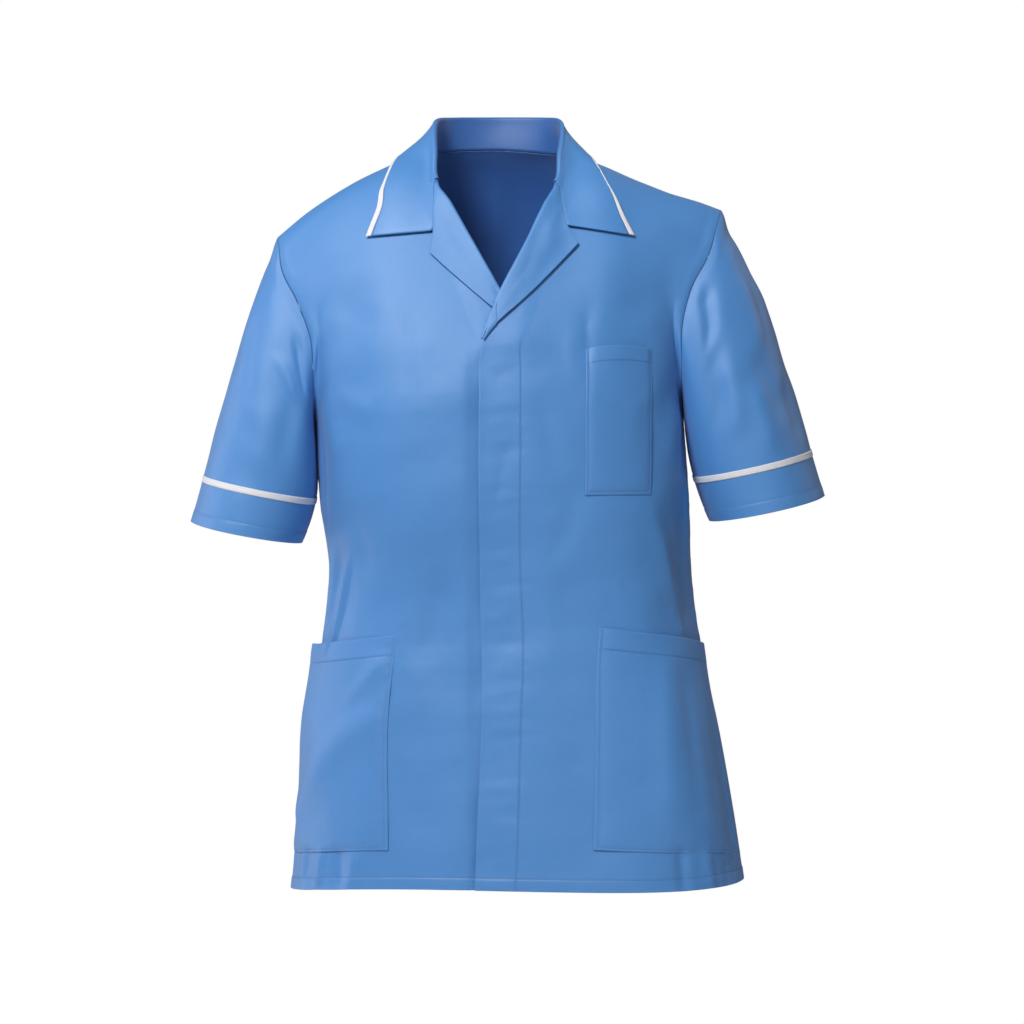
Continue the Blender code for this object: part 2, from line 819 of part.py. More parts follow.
def seam_normals(share, rise, face):
    """Directions of the rims on the body's seams, the mean of the pieces that meet there.

    A sleeve counts where it bends down from the body, and not where it stands out from it.
    """
    own = torso_normal(share, rise, face)
    other = torso_normal(share, rise, -face)
    at_side = (np.abs(share) > ON_SEAM)[..., None]
    at_shoulder = ((rise > ON_SEAM) & (np.abs(share) >= NECK_SHARE))[..., None]
    total = own + other * (at_shoulder | (at_side & (rise <= 0)[..., None]))
    for side in (RIGHT, LEFT):
        way, arm = sleeve_start(np.clip(rise, 0, 1), np.full_like(share, face), side)
        bends = (way * unit(total)).sum(axis=-1) < 0
        at_arm = smooth_step(*ARM_TURN, share * side) * ((rise >= 0) & bends)
        total = total + arm * at_arm[..., None]
    return unit(total)


def panel_normals(share, rise, face, grid, facing):
    """Directions of a panel's wall: its own, and on a seam those of the seam."""
    share, rise = np.broadcast_arrays(share, rise)
    on_seam = (np.abs(share) > ON_SEAM) | (rise > ON_SEAM)
    own = grid_normals(grid, facing)
    return np.where(on_seam[..., None], seam_normals(share, rise, face), own)


def front_panel(side, across, rise):
    """Outer face of a front and its normals, across from its edge (0) to the armhole (1)."""
    rise = np.asarray(rise) * (1 - SEAM_GAP / 2 / COLUMN_LENGTH)
    edge = front_edge_share(rise, side)
    seam = side * (1 - SEAM_GAP / 2 / QUARTER_GIRTH)
    share = edge + (seam - edge) * np.asarray(across)[:, None]
    grid = front_cloth(share, np.broadcast_to(rise, share.shape), side)
    return grid, panel_normals(share, rise, FRONT, grid, side)


def back_panel(across, rise):
    """Outer face of the back and its normals, from the wearer's right (-1) to the left (1)."""
    rise = np.asarray(rise) * (1 - SEAM_GAP / 2 / COLUMN_LENGTH)
    share = (1 - SEAM_GAP / 2 / QUARTER_GIRTH) * np.asarray(across)[:, None]
    grid = back_cloth(*np.broadcast_arrays(share, rise))
    return grid, panel_normals(share, rise, BACK, grid, BACK)


def sleeve(turns, side, trees):
    """Close lines of a sleeve's outer face, clear of the body."""
    turn = np.asarray(turns)[:, None]
    down = np.linspace(0, 1, CLOSE_ROWS)
    grid = sleeve_form(*np.broadcast_arrays(turn, down), side)
    clearance = SLEEVE_CLEARANCE * smooth_step(*SLEEVE_SETTLE, down)
    reach = smooth_step(0.0, 0.02, down) * clearance
    near = np.minimum(turn, 2 - turn)[:, 0] < SLEEVE_NEAR_TURN
    grid[near] = keep_off(grid[near], reach, trees)
    return grid


def sleeve_normals(turns, side, grid):
    """Directions of a sleeve's wall: its own, and at the armhole those of the seam."""
    normals = grid_normals(grid, -side, closed=True)
    rise = np.minimum(turns, 2 - turns)
    share = np.full_like(rise, side)
    for face, here in ((FRONT, turns <= 1), (BACK, turns > 1)):
        rims = seam_normals(share, rise, face)
        way, _ = sleeve_start(rise, np.full_like(rise, face), side)
        bends = (way * rims).sum(axis=-1) < 0
        normals[:, 0] = np.where((here & bends)[:, None], rims, normals[:, 0])
    return normals


def sleeve_tape(grid, side):
    """Outer face of the tape round a sleeve."""
    near, far = TAPE_RISE - TAPE_WIDTH / 2, TAPE_RISE + TAPE_WIDTH / 2
    distances = np.tile(np.linspace(far, near, TAPE_ROWS), (len(grid), 1))
    lift = grid_normals(grid, -side, closed=True) * (SEAM_GAP + TRIM_WALL)
    return at_distances(grid + lift, distances)


def lapel(side, across, along):
    """Middle of a lapel's cloth, from inside its roll line to its outer edge."""
    break_level = np.array(LAPEL_BREAK[side])
    _, break_rise = locate(spline(FRONT_EDGE[side], break_level)[..., 0], break_level)
    roll_rise = LAPEL_TOP_RISE + (break_rise - LAPEL_TOP_RISE) * along
    roll = torso(front_edge_share(roll_rise, side), roll_rise, FRONT)[:, ::2]
    edge = spline(LAPEL_EDGE[side], along)
    notch = LAPEL_NOTCH[side]
    stops = (0, LAPEL_NOTCH_SHARE, 1)
    gorge = np.stack(
        [
            np.interp(across, stops, (roll[0, 0], notch.x, edge[0, 0])),
            np.interp(across, stops, (roll[0, 1], notch.z, edge[0, 1])),
        ],
        axis=-1,
    )
    part = across[None, :, None]
    flat = roll[:, None] * (1 - part) + edge[:, None] * part
    ease = ((1 - along) ** 2)[:, None, None]
    flat = flat + (gorge - flat[0])[None] * ease
    share, rise = locate(flat[..., 0], flat[..., 1])
    base = front_cloth(share, rise, side)
    out = torso_normal(share, rise, FRONT)
    lift = np.interp(along, (0, 1), LAPEL_LIFTS)[:, None, None]
    lying = base + out * lift
    away = -side * unit(np.cross(np.gradient(base[:, 0], axis=0), out[:, 0]))
    rim = -CLOTH_WALL / 2
    radius = (lift[:, 0] - rim) / 2
    centre = base[:, 0] + out[:, 0] * (lift[:, 0] + rim) / 2 - away * ROLL_GAP
    bends = np.radians(np.linspace(0, 180, ROLL_STEPS))
    roll_lines = [
        centre - radius * (away * np.sin(bend) + out[:, 0] * np.cos(bend))
        for bend in bends
    ]
    return np.concatenate([np.stack(roll_lines, axis=1), lying[:, 1:]], axis=1)


def neck_seam(share):
    """The neck seam from the right lapel round the back (0.5) to the left lapel (1)."""
    front = np.linspace(COLLAR_START_SHARE, NECK_SHARE, NECK_POINTS)
    back = np.linspace(-NECK_SHARE, NECK_SHARE, 4 * NECK_POINTS)
    line = np.concatenate(
        [
            top_line(-front, FRONT),
            top_line(back, BACK)[1:-1],
            top_line(front[::-1], FRONT),
        ]
    )
    length = np.concatenate([[0], np.cumsum(np.linalg.norm(np.diff(line, axis=0), axis=1))])
    at = np.asarray(share) * length[-1]
    return np.stack([np.interp(at, length, line[:, axis]) for axis in range(3)], axis=-1)


def over_body(share, over, lift):
    """Points at a height over the front and, past the shoulder seam, over the back."""
    share, over = np.broadcast_arrays(np.asarray(share, float), over)
    rise = np.where(over > 1, 2 - over, over)
    behind = (over > 1)[..., None]
    ahead = torso(share, rise, FRONT) + torso_normal(share, rise, FRONT) * lift
    after = torso(share, rise, BACK) + torso_normal(share, rise, BACK) * lift
    return np.where(behind, after, ahead)


def collar_end(part, side, tip):
    """The collar's end over the body: down the seam to the lapel, and out to its point."""
    notch = COLLAR_NOTCH[side]
    start = top_line(np.array(side * COLLAR_START_SHARE), FRONT)
    stops = (0, COLLAR_NOTCH_SHARE, 1)
    x = np.interp(part, stops, (start[0] + side * COLLAR_END_ASIDE[side], notch.x, tip[0]))
    z = np.interp(part, stops, (start[2], notch.z, tip[2]))
    share, rise = locate(x, z)
    return front_cloth(share, rise, side, COLLAR_LIFT)


def collar(way, trees):
    """Middle of the collar's cloth: its stand and fold, and its fall in close rows."""
    fold = spline(COLLAR_FOLD, way)
    style = spline(COLLAR_STYLE, way)
    seam = neck_seam(way)
    ends = np.minimum(way, 1 - way)
    near_end = 1 - smooth_step(0.0, COLLAR_TURN, ends)[:, None]
    tangent = unit(np.gradient(fold, axis=0))
    seam_tangent = unit(np.gradient(seam, axis=0))
    tangent = unit(tangent + (seam_tangent - tangent) * near_end)
    level_out = unit(np.stack([-tangent[:, 1], tangent[:, 0], 0 * way], axis=-1))
    sides = np.where(way < 0.5, RIGHT, LEFT)[:, None]
    mirror = np.concatenate([sides, np.ones((len(way), 2))], axis=1)
    end_out = unit(np.array(COLLAR_END_OUT) * mirror)
    out = unit(level_out + (end_out - level_out) * near_end)
    up = unit(np.cross(tangent, out))
    from_rim = COLLAR_FOLD_RADIUS - CLOTH_WALL / 2
    at_end = seam + end_out * from_rim + up * (COLLAR_FOLD_RADIUS + COLLAR_END_RISE)
    fold = fold + (at_end - fold) * near_end**2
    centre = fold - up * COLLAR_FOLD_RADIUS
    bends = np.radians(np.linspace(0, 180, FOLD_STEPS))
    arc = np.stack(
        [
            centre + COLLAR_FOLD_RADIUS * (up * np.sin(bend) - out * np.cos(bend))
            for bend in bends
        ],
        axis=1,
    )
    foot = seam + up * COLLAR_STAND_GAP - end_out * (CLOTH_WALL / 2) * near_end
    height = np.linalg.norm(arc[:, 0] - foot, axis=-1, keepdims=True)
    stand = bezier(
        foot[:, None],
        (foot + up * height / 3)[:, None],
        (arc[:, 0] - up * height / 3)[:, None],
        arc[:, :1],
        np.tile(np.linspace(0, 1, STAND_ROWS + 1)[:-1], (len(way), 1)),
    )
    edge = over_body(style[:, 0], style[:, 1], COLLAR_LIFT)
    tips = over_body(style[[0, -1], 0], style[[0, -1], 1], 0.0)
    behind = smooth_step(*STYLE_BACK, ends)[1:-1, None]
    for _ in range(STYLE_EASINGS):
        edge[1:-1] += ((edge[2:] + edge[:-2]) / 2 - edge[1:-1]) * behind
    edge = keep_off(edge, COLLAR_LIFT, trees)
    top = arc[:, -1]
    reach = np.linalg.norm(edge - top, axis=-1, keepdims=True)
    part = np.linspace(0, 1, CLOSE_ROWS)
    fall = bezier(
        top[:, None],
        (top - up * reach * FALL_DROP)[:, None],
        (edge + (top - edge) * FALL_REST)[:, None],
        edge[:, None],
        np.tile(part, (len(way), 1)),
    )
    for side, end in ((RIGHT, 0), (LEFT, -1)):
        line = collar_end(part, side, tips[end])
        line = line + (top[end] - line[0]) * (1 - smooth_step(0, COLLAR_JOIN, part))[:, None]
        beside = np.abs(way - way[end])
        ease = (np.clip(1 - beside / COLLAR_END_BLEND, 0, 1) ** 2)[:, None, None]
        fall = fall + (line - fall[end])[None] * ease
    for _ in range(COLLAR_EASINGS):
        fall = relax(fall, 0.5)
        fall[1:-1, 1:-1] = keep_off(fall[1:-1, 1:-1], COLLAR_LIFT, trees)
    return np.concatenate([stand, arc[:, :-1]], axis=1), fall


def hip_pocket(side, across, up):
    """Outer face of a hip pocket, from its inner edge (0) to the side seam (1)."""
    sizes = HIP_POCKET[side]
    low_share, low_rise = locate(np.array(sizes.bottom_x), np.array(sizes.bottom))
    top_share, top_rise = locate(np.array(sizes.top_x), np.array(sizes.top))
    seam = side * (1 - SEAM_GAP / QUARTER_GIRTH)
    hem = hem_level(np.array(seam), FRONT)
    span = chest_level(np.array(seam)) - hem
    seam_low = (sizes.seam_bottom - hem) / span - 1
    seam_top = (sizes.seam_top - hem) / span - 1
    across, up = np.asarray(across)[:, None], np.asarray(up)[None, :]
    inner_share = low_share + (top_share - low_share) * up
    inner_rise = low_rise + (top_rise - low_rise) * up
    seam_rise = seam_low + (seam_top - seam_low) * up
    share = inner_share + (seam - inner_share) * across
    rise = inner_rise + (seam_rise - inner_rise) * across
    open_part = smooth_step(1 - GAPE_DEPTH, 1.0, up)
    gape = sizes.gape * open_part * np.sin(np.pi / 2 * across) ** 2
    return front_cloth(share, rise, side, POCKET_LIFT + gape)


def chest_pocket(across, up):
    """Outer face of the chest pocket."""
    x = np.array([corner.x for corner in CHEST_POCKET]).reshape(2, 2)
    z = np.array([corner.z for corner in CHEST_POCKET]).reshape(2, 2)
    share, rise = locate(x, z)
    across, up = np.asarray(across)[:, None], np.asarray(up)[None, :]
    low, high = (1 - up), up
    inner, outer = (1 - across), across
    mixed = [
        low * (inner * value[0, 0] + outer * value[0, 1])
        + high * (inner * value[1, 0] + outer * value[1, 1])
        for value in (share, rise)
    ]
    gape = CHEST_GAPE * smooth_step(1 - GAPE_DEPTH, 1.0, up) * np.sin(np.pi * across)
    return front_cloth(mixed[0], mixed[1], LEFT, POCKET_LIFT + gape)


def add_finish(name, colour, roughness):
    """A cloth material with the given colour and roughness."""
    finish = bpy.data.materials.new(name)
    finish.use_nodes = True
    shader = finish.node_tree.nodes["Principled BSDF"]
    shader.inputs["Base Color"].default_value = (*colour, 1.0)
    shader.inputs["Roughness"].default_value = roughness
    shader.inputs["Metallic"].default_value = 0.0
    finish.diffuse_color = (*colour, 1.0)
    return finish


def add_cloth(name, grid, normals, facing, wall, depth, finish, closed=False):
    """A named piece of cloth with a wall along the normals of a grid of points.

    depth is how much of the wall lies below the grid. facing turns the faces out, and closed
    joins the last line across to the first.
    """
    across, along = grid.shape[:2]
    points = np.concatenate([grid + normals * (wall - depth), grid - normals * depth])
    outer = grid_faces(across, along, closed, facing)
    inner = outer[:, ::-1] + across * along
    ends = np.stack([outer, np.roll(outer, -1, axis=1)], axis=-1).reshape(-1, 2)
    known = {tuple(pair) for pair in ends.tolist()}
    along_slant = (grid @ np.array(RIM_SLANT)).reshape(-1)
    count = across * along
    rims = []
    for first, second in sorted(known):
        if (second, first) in known:
            continue
        if along_slant[first] < along_slant[second]:
            rims.append([second, first, second + count])
            rims.append([first, first + count, second + count])
        else:
            rims.append([second, first, first + count])
            rims.append([second, first + count, second + count])
    mesh = bpy.data.meshes.new(name)
    mesh.from_pydata(
        (points.reshape(-1, 3) * MM).tolist(), [], outer.tolist() + inner.tolist() + rims
    )
    mesh.materials.append(finish)
    piece = bpy.data.objects.new(name, mesh)
    bpy.context.scene.collection.objects.link(piece)
    return piece


def add_shell(name, grid, facing, wall, depth, finish, closed=False):
    """A named piece of cloth with a wall along its own normals."""
    normals = grid_normals(grid, facing, closed)
    return add_cloth(name, grid, normals, facing, wall, depth, finish, closed)


def clear_scene():
    """Removes every object of the open scene."""
    for old in list(bpy.data.objects):
        bpy.data.objects.remove(old, do_unlink=True)


def main():
    """Builds every piece of the tunic."""
    clear_scene()
    blue = add_finish("blue_polycotton", BLUE, 0.78)
    white = add_finish("white_tape", WHITE, 0.7)

    upper = np.linspace(0, 1, UPPER_ROWS + 1)
    upper = upper - ROW_CLOSENESS * np.sin(2 * np.pi * upper)
    rows = np.concatenate([np.linspace(-1, 0, LOWER_ROWS + 1), upper[1:]])
    lines = np.linspace(0, 1, FRONT_LINES + 1)
    lines = lines - FRONT_CLOSENESS * np.sin(2 * np.pi * lines)
    back_lines = np.linspace(-1, 1, BACK_LINES + 1)
    back_lines = back_lines * (1 + BACK_CLOSENESS * (1 - np.abs(back_lines)))
    turns = np.concatenate([upper, 2 - upper[-2:0:-1]])
    wall = CLOTH_WALL
    add_cloth("back", *back_panel(back_lines, rows), BACK, wall, wall, blue)

    trees = torso_trees()
    for side, label in ((RIGHT, "right"), (LEFT, "left")):
        add_cloth(f"front_{label}", *front_panel(side, lines, rows), side, wall, wall, blue)
        close = sleeve(turns, side, trees)
        distances = lengths(close)[:, None] * (1 - np.linspace(0, 1, SLEEVE_ROWS + 1))
        grid = at_distances(close, distances)
        normals = sleeve_normals(turns, side, grid)
        add_cloth(f"sleeve_{label}", grid, normals, -side, wall, wall, blue, closed=True)
        tape = sleeve_tape(close, side)
        add_shell(f"sleeve_tape_{label}", tape, -side, TRIM_WALL, TRIM_WALL, white, closed=True)
        across = np.linspace(0, 1, LAPEL_LINES + 1)
        along = np.linspace(0, 1, LAPEL_ROWS + 1)
        grid = lapel(side, across, along)
        add_shell(f"lapel_{label}", grid, -side, LAPEL_WALL, LAPEL_WALL / 2, blue)
        grid = hip_pocket(side, np.linspace(0, 1, POCKET_LINES), np.linspace(0, 1, POCKET_ROWS))
        add_shell(f"hip_pocket_{label}", grid, side, POCKET_WALL, POCKET_WALL, blue)

    grid = chest_pocket(np.linspace(0, 1, CHEST_LINES), np.linspace(0, 1, POCKET_ROWS))
    add_shell("chest_pocket", grid, 1, POCKET_WALL, POCKET_WALL, blue)

    inside, fall = collar(np.linspace(0, 1, CLOSE_COLLAR), trees)
    step = (CLOSE_COLLAR - 1) // COLLAR_LINES
    inside, fall = inside[::step], fall[::step]
    fall_length = lengths(fall)[:, None]
    part = 1 - np.linspace(0, 1, FALL_ROWS + 1)
    blue_edge = PIPING_WIDTH + SEAM_GAP
    outer = at_distances(fall, blue_edge + (fall_length - blue_edge) * part)
    band = np.tile(np.linspace(PIPING_WIDTH, 0, PIPING_ROWS), (len(fall), 1))
    grid = np.concatenate([inside, outer, at_distances(fall, band)], axis=1)
    normals = grid_normals(grid, 1)
    joint = normals[:, -PIPING_ROWS - 1] + normals[:, -PIPING_ROWS]
    normals[:, -PIPING_ROWS - 1 : 1 - PIPING_ROWS] = unit(joint)[:, None]
    for name, rows, finish in (
        ("collar", slice(0, -PIPING_ROWS), blue),
        ("collar_piping", slice(-PIPING_ROWS, None), white),
    ):
        shape = grid[:, rows], normals[:, rows]
        add_cloth(name, *shape, 1, COLLAR_WALL, COLLAR_WALL / 2, finish)


if __name__ == "__main__":
    main()
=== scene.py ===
"""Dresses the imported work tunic: cloth, folds, stitches, tapes, light and camera.

The cloth follows the same form as the part's solids. Lengths are in millimetres until a mesh is
made. x points to the wearer's left, y to the back and z up, and the origin is between the
shoulders. On the body, share runs from the centre (0) to a side seam or armhole (1 on the
wearer's left, -1 on the right), and rise from the hem (-1) past the chest row (0) to the neck and
shoulder lines (1).
"""

import logging
import math
from dataclasses import dataclass, field
from enum import Enum, IntEnum
from typing import Any

import bpy
import numpy as np
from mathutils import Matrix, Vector
from mathutils.bvhtree import BVHTree


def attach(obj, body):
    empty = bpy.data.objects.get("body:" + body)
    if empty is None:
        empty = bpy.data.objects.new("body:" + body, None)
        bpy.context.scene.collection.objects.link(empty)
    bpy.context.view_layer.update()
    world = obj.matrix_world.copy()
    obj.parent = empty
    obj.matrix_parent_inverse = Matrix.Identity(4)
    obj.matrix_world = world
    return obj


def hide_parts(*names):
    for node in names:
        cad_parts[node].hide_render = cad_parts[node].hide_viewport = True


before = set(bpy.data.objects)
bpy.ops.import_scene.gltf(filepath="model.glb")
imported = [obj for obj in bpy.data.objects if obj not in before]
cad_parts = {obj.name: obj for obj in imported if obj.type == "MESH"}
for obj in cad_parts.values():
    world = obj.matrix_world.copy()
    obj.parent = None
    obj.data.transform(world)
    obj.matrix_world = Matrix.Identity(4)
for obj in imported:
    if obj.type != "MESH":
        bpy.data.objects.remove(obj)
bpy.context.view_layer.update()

Array = np.ndarray
Rows = tuple[tuple[float, ...], ...]
Pair = tuple[float, float]
Point = tuple[float, float, float]
Tree = bpy.types.NodeTree
Material = bpy.types.Material

MM = 0.001
AHEAD = -400.0  # y of a place well ahead of the tunic
log = logging.getLogger("tunic")


class Side(IntEnum):
    """The wearer's two sides."""

    RIGHT = -1
    LEFT = 1

    @property
    def word(self) -> str:
        """The side's name in lower case."""
        return self.name.lower()

    @property
    def place(self) -> int:
        """The side's place in a pair of tables, the right one first."""
        return int(self is Side.LEFT)


class Face(IntEnum):
    """The front and the back of the body."""

    FRONT = 1
    BACK = -1


class Rim(Enum):
    """The four rims of a grid of cloth."""

    FIRST_LINE = "first line"
    LAST_LINE = "last line"
    FIRST_ROW = "first row"
    LAST_ROW = "last row"


SIDES = (Side.RIGHT, Side.LEFT)


def ramp(low: float, high: float, value: Array) -> Array:
    """Zero below low, one above high, and a smooth rise between them."""
    share = np.clip((value - low) / (high - low), 0.0, 1.0)
    return share * share * (3.0 - 2.0 * share)


def bump(value: Array, centre: float, width: float) -> Array:
    """One at the centre, with a smooth fall to zero over about twice the width on each side."""
    return np.exp(-(((value - centre) / width) ** 2))


def gaps(points: Array, axis: int) -> Array:
    """Distances between neighbouring points along an axis of a grid."""
    return np.linalg.norm(np.diff(points, axis=axis), axis=-1)


def spline(rows: Any, at: Any) -> Array:
    """Reads the other columns of a table smoothly at places along its first column.

    Args:
        rows: The table, with rising numbers in its first column.
        at: The places to read, of any shape.

    Returns:
        The columns' values, in a last axis of their own.
    """
    table = np.array(rows, float)
    keys, values = table[:, 0], table[:, 1:]
    slopes = np.gradient(values, keys, axis=0)
    at = np.clip(np.asarray(at, float), keys[0], keys[-1])
    cell = np.clip(np.searchsorted(keys, at, side="right") - 1, 0, len(keys) - 2)
    width = (keys[cell + 1] - keys[cell])[..., None]
    u = (at[..., None] - keys[cell][..., None]) / width
    return (
        values[cell] * (1 + 2 * u) * (1 - u) ** 2
        + values[cell + 1] * u * u * (3 - 2 * u)
        + slopes[cell] * width * u * (1 - u) ** 2
        - slopes[cell + 1] * width * u * u * (1 - u)
    )


def unit(vectors: Array) -> Array:
    """Vectors scaled to length one."""
    return vectors / np.maximum(np.linalg.norm(vectors, axis=-1, keepdims=True), 1e-9)


def bezier(start: Array, first: Array, second: Array, end: Array, u: Any) -> Array:
    """Points of cubic curves with the given start, handles and end.

    Args:
        start, first, second, end: The curves' ends and handles.
        u: Shares of the way.

    Returns:
        The points.
    """
    u = np.asarray(u)[..., None]
    low = start * (1 - u) ** 3 + first * 3 * u * (1 - u) ** 2
    return low + second * 3 * u * u * (1 - u) + end * u**3


def grid_normals(grid: Array, facing: int, closed: bool = False) -> Array:
    """Unit normals of the surface through a grid, turned out by facing.

    Args:
        grid: The points.
        facing: 1 or -1.
        closed: Whether the last line joins the first.

    Returns:
        The normals.
    """
    around = np.concatenate([grid[-1:], grid, grid[:1]]) if closed else grid
    normals = unit(np.cross(np.gradient(around, axis=0), np.gradient(around, axis=1)))
    return facing * (normals[1:-1] if closed else normals)


def refine(grid: Array, lines: Array, rows: Array) -> Array:
    """Reads a grid of points smoothly at shares (0 to 1) of its lines and rows.

    Args:
        grid: The points.
        lines, rows: Shares of the lines and of the rows.

    Returns:
        The points there.
    """
    for axis, at in ((0, lines), (1, rows)):
        flat = np.moveaxis(grid, axis, 0)
        count = len(flat)
        keys = np.linspace(0, 1, count)[:, None]
        read = spline(np.concatenate([keys, flat.reshape(count, -1)], axis=1), at)
        grid = np.moveaxis(read.reshape(len(at), *flat.shape[1:]), 0, axis)
    return grid


def calmed(grid: Array, rounds: int, weight: Any = 1.0) -> Array:
    """Draws each inner line of a grid towards the middle between its neighbours.

    Args:
        grid: Points or directions, by line.
        rounds: How many times.
        weight: How strongly, from 0 to 1, for the inner lines.

    Returns:
        The calmer grid.
    """
    grid = grid.copy()
    for _ in range(rounds):
        grid[1:-1] += ((grid[2:] + grid[:-2]) / 2 - grid[1:-1]) * weight
    return grid


def marks(length: float, step: float, stops: tuple[float, ...]) -> Array:
    """Places along a length, even but for close ones beside seams and stitch lines.

    Args:
        length: The length.
        step: Step between even places.
        stops: Places of the seams and stitch lines.

    Returns:
        The places.
    """
    near = np.array([-2.4, -1.4, -0.7, 0.0, 0.7, 1.4, 2.4])
    even = np.linspace(0, length, max(int(length / step), 2))
    for stop in stops:
        even = even[np.abs(even - stop) > 2.4 + step / 3]
    every = np.concatenate([even, *[stop + near for stop in stops]])
    return np.unique(np.clip(every, 0, length).round(3))


def ripple(x: Array, y: Array, wavelength: float, phase: float) -> Array:
    """A soft uneven surface between about -1 and 1, from waves in fixed directions.

    Args:
        x, y: Places.
        wavelength: Mean length of a wave.
        phase: Any number, for a pattern of its own.

    Returns:
        Heights.
    """
    total = np.zeros(np.broadcast(x, y).shape)
    for number, turn in enumerate((0.3, 1.1, 1.9, 2.6, 0.75)):
        size = wavelength * (0.72 + 0.17 * number)
        way = x * math.cos(turn + phase) + y * math.sin(turn + phase)
        total = total + np.sin(way * 2 * math.pi / size + phase * (7.3 + 3.1 * number))
    return total / 3.2


@dataclass(frozen=True)
class Fold:
    """A fold between two points of a sheet, such as the arc from the centre and the level.

    It fades over its width on each side and bends aside by its bow. A positive height is a
    ridge, and the skew, from -1 to 1, makes one side wider than the other.
    """

    start: Pair
    end: Pair
    width: float
    height: float
    bow: float = 0.0
    skew: float = 0.0

    def at(self, across: Array, down: Array) -> Array:
        """Height of the fold at places of the sheet.

        Args:
            across, down: Places.

        Returns:
            Heights.
        """
        run = np.subtract(self.end, self.start)
        over, below = across - self.start[0], down - self.start[1]
        length = math.hypot(*run)
        along = (over * run[0] + below * run[1]) / length**2
        aside = (over * run[1] - below * run[0]) / length
        aside = aside - self.bow * np.sin(math.pi * np.clip(along, 0, 1))
        width = self.width * (1 + self.skew * np.tanh(aside / self.width * 2))
        ends = ramp(-0.12, 0.3, along) * (1 - ramp(0.7, 1.12, along))
        return self.height * ends * np.exp(-((aside / width) ** 2))


def folds_at(rows: Rows, across: Array, down: Array) -> Array:
    """Adds up several folds at places of a sheet.

    Args:
        rows: Each fold's start, its end, its width and height, and maybe its bow and skew.
        across: Places along the sheet's first direction.
        down: Places along its second one.

    Returns:
        The folds' heights.
    """
    folds = [Fold(row[:2], row[2:4], *row[4:]) for row in rows]
    return sum((fold.at(across, down) for fold in folds), np.zeros(across.shape))


# Folds of the fronts and the back, by the arc from the centre and the level
FRONT_FOLDS = (
    (-192, -395, -212, -520, 24, 4.5, 6), (-150, -310, -205, -262, 22, 3, 4),
    (-235, -540, -120, -700, 28, 3, -12), (170, -310, 215, -262, 22, 3, -4),
    (120, -540, 205, -720, 30, 3, 10), (205, -330, 228, -480, 24, -3.5, 6),
    (-60, -480, -95, -735, 30, 2.5, 6), (-156, -408, -180, -512, 5.5, 4.9, 2, 0.35),
    (-176, -400, -212, -516, 13, -6.6, 3, -0.2), (-47, -400, -42, -560, 13, -2.32, 3),
    (-52, -560, -44, -725, 17, -1.59, -3), (-41, -423, -63, -522, 15, -2.2, 2),
    (-70, -560, -60, -690, 16, -1.8, 3), (-203, -240, -209, -390, 11, -2.61, -4),
    (-124, -703, -120, -748, 6, -3.2, 1), (-106, -705, -108, -748, 6, 2.6, -1),
    (-146, -704, -150, -748, 6, 3), (-170, -706, -174, -748, 6, -3),
    (-90, -512, -130, -560, 10, 1.59, 2), (244, -190, 226, -330, 10, -2.9, 5),
    (226, -320, 232, -424, 9, 2.61, -3), (138, -358, 198, -500, 11, 2.17, -6, 0.3),
    (160, -352, 216, -470, 10, -2.03, -6), (63, -345, 38, -420, 10, -1.3, -3),
    (38, -400, 44, -520, 13, 1.3, 3), (10, -290, -4, -366, 6, -0.87, 1),
    (32, -250, 46, -330, 9, -0.87, -2), (158, -505, 130, -700, 13, 1.89, 4),
    (184, -520, 166, -690, 12, -2.03, 4), (143, -698, 142, -745, 6, -2.6),
    (174, -698, 178, -745, 7, 2.6), (205, -712, 208, -745, 7, -1.45),
    (50, -150, 165, -100, 16, 1.3, -5), (-60, -150, -170, -110, 16, 1.3, 5),
    (90, -170, 180, -150, 13, -1.16, 3), (-92, -180, -186, -152, 14, -1.3, -3),
    (-250, -150, -238, -246, 10, -2.9, -4), (250, -140, 236, -236, 10, -2.9, 4),
    (-110, -270, -168, -250, 12, 1.59, 3), (112, -268, 170, -246, 12, 0.87, -3),
    (-128, -430, -150, -360, 12, -1.45, 4), (60, -560, 72, -720, 14, -1.3, 4),
    (-225, -610, -205, -740, 13, -2.9, 5), (228, -560, 222, -735, 13, -2.9, -5),
)
BACK_FOLDS = (
    (-150, -300, -110, -560, 28, 4.5, 8), (150, -290, 120, -540, 26, 4, -8),
    (-60, -430, -90, -740, 30, 4, 6), (70, -470, 95, -745, 32, 4.5, -8),
    (10, -520, 0, -750, 28, -3, 5), (-205, -340, -185, -240, 24, 3.5, -5),
    (205, -330, 185, -230, 24, 3.5, 5), (-132, -330, -104, -470, 8, 2.75, 3, 0.3),
    (128, -318, 104, -452, 8, 2.46, -3, -0.3), (-180, -400, -150, -560, 12, -2.9, 5),
    (178, -390, 152, -560, 12, -2.75, -5), (-20, -300, -34, -470, 13, -1.74, 4),
    (28, -290, 40, -440, 12, -1.45, -4), (-8, -400, -16, -560, 8, 1.45, 2),
    (-120, -130, -40, -80, 16, 1.3, 4), (120, -128, 44, -78, 15, 1.3, -4),
    (-190, -190, -120, -150, 14, -1.74, 3), (192, -186, 124, -144, 14, -1.74, -3),
    (-60, -200, 60, -208, 18, -1.45, 6), (-95, -600, -110, -740, 10, -2.32, 4),
    (120, -600, 132, -740, 10, -2.32, -4), (-160, -600, -176, -745, 14, 2.61, 4),
    (176, -590, 190, -742, 14, 2.61, -4), (-232, -470, -222, -700, 12, -2.17, 4),
    (232, -460, 224, -700, 12, -2.17, -4), (40, -690, 36, -752, 8, 1.59),
    (-34, -700, -30, -752, 8, 1.45),
)


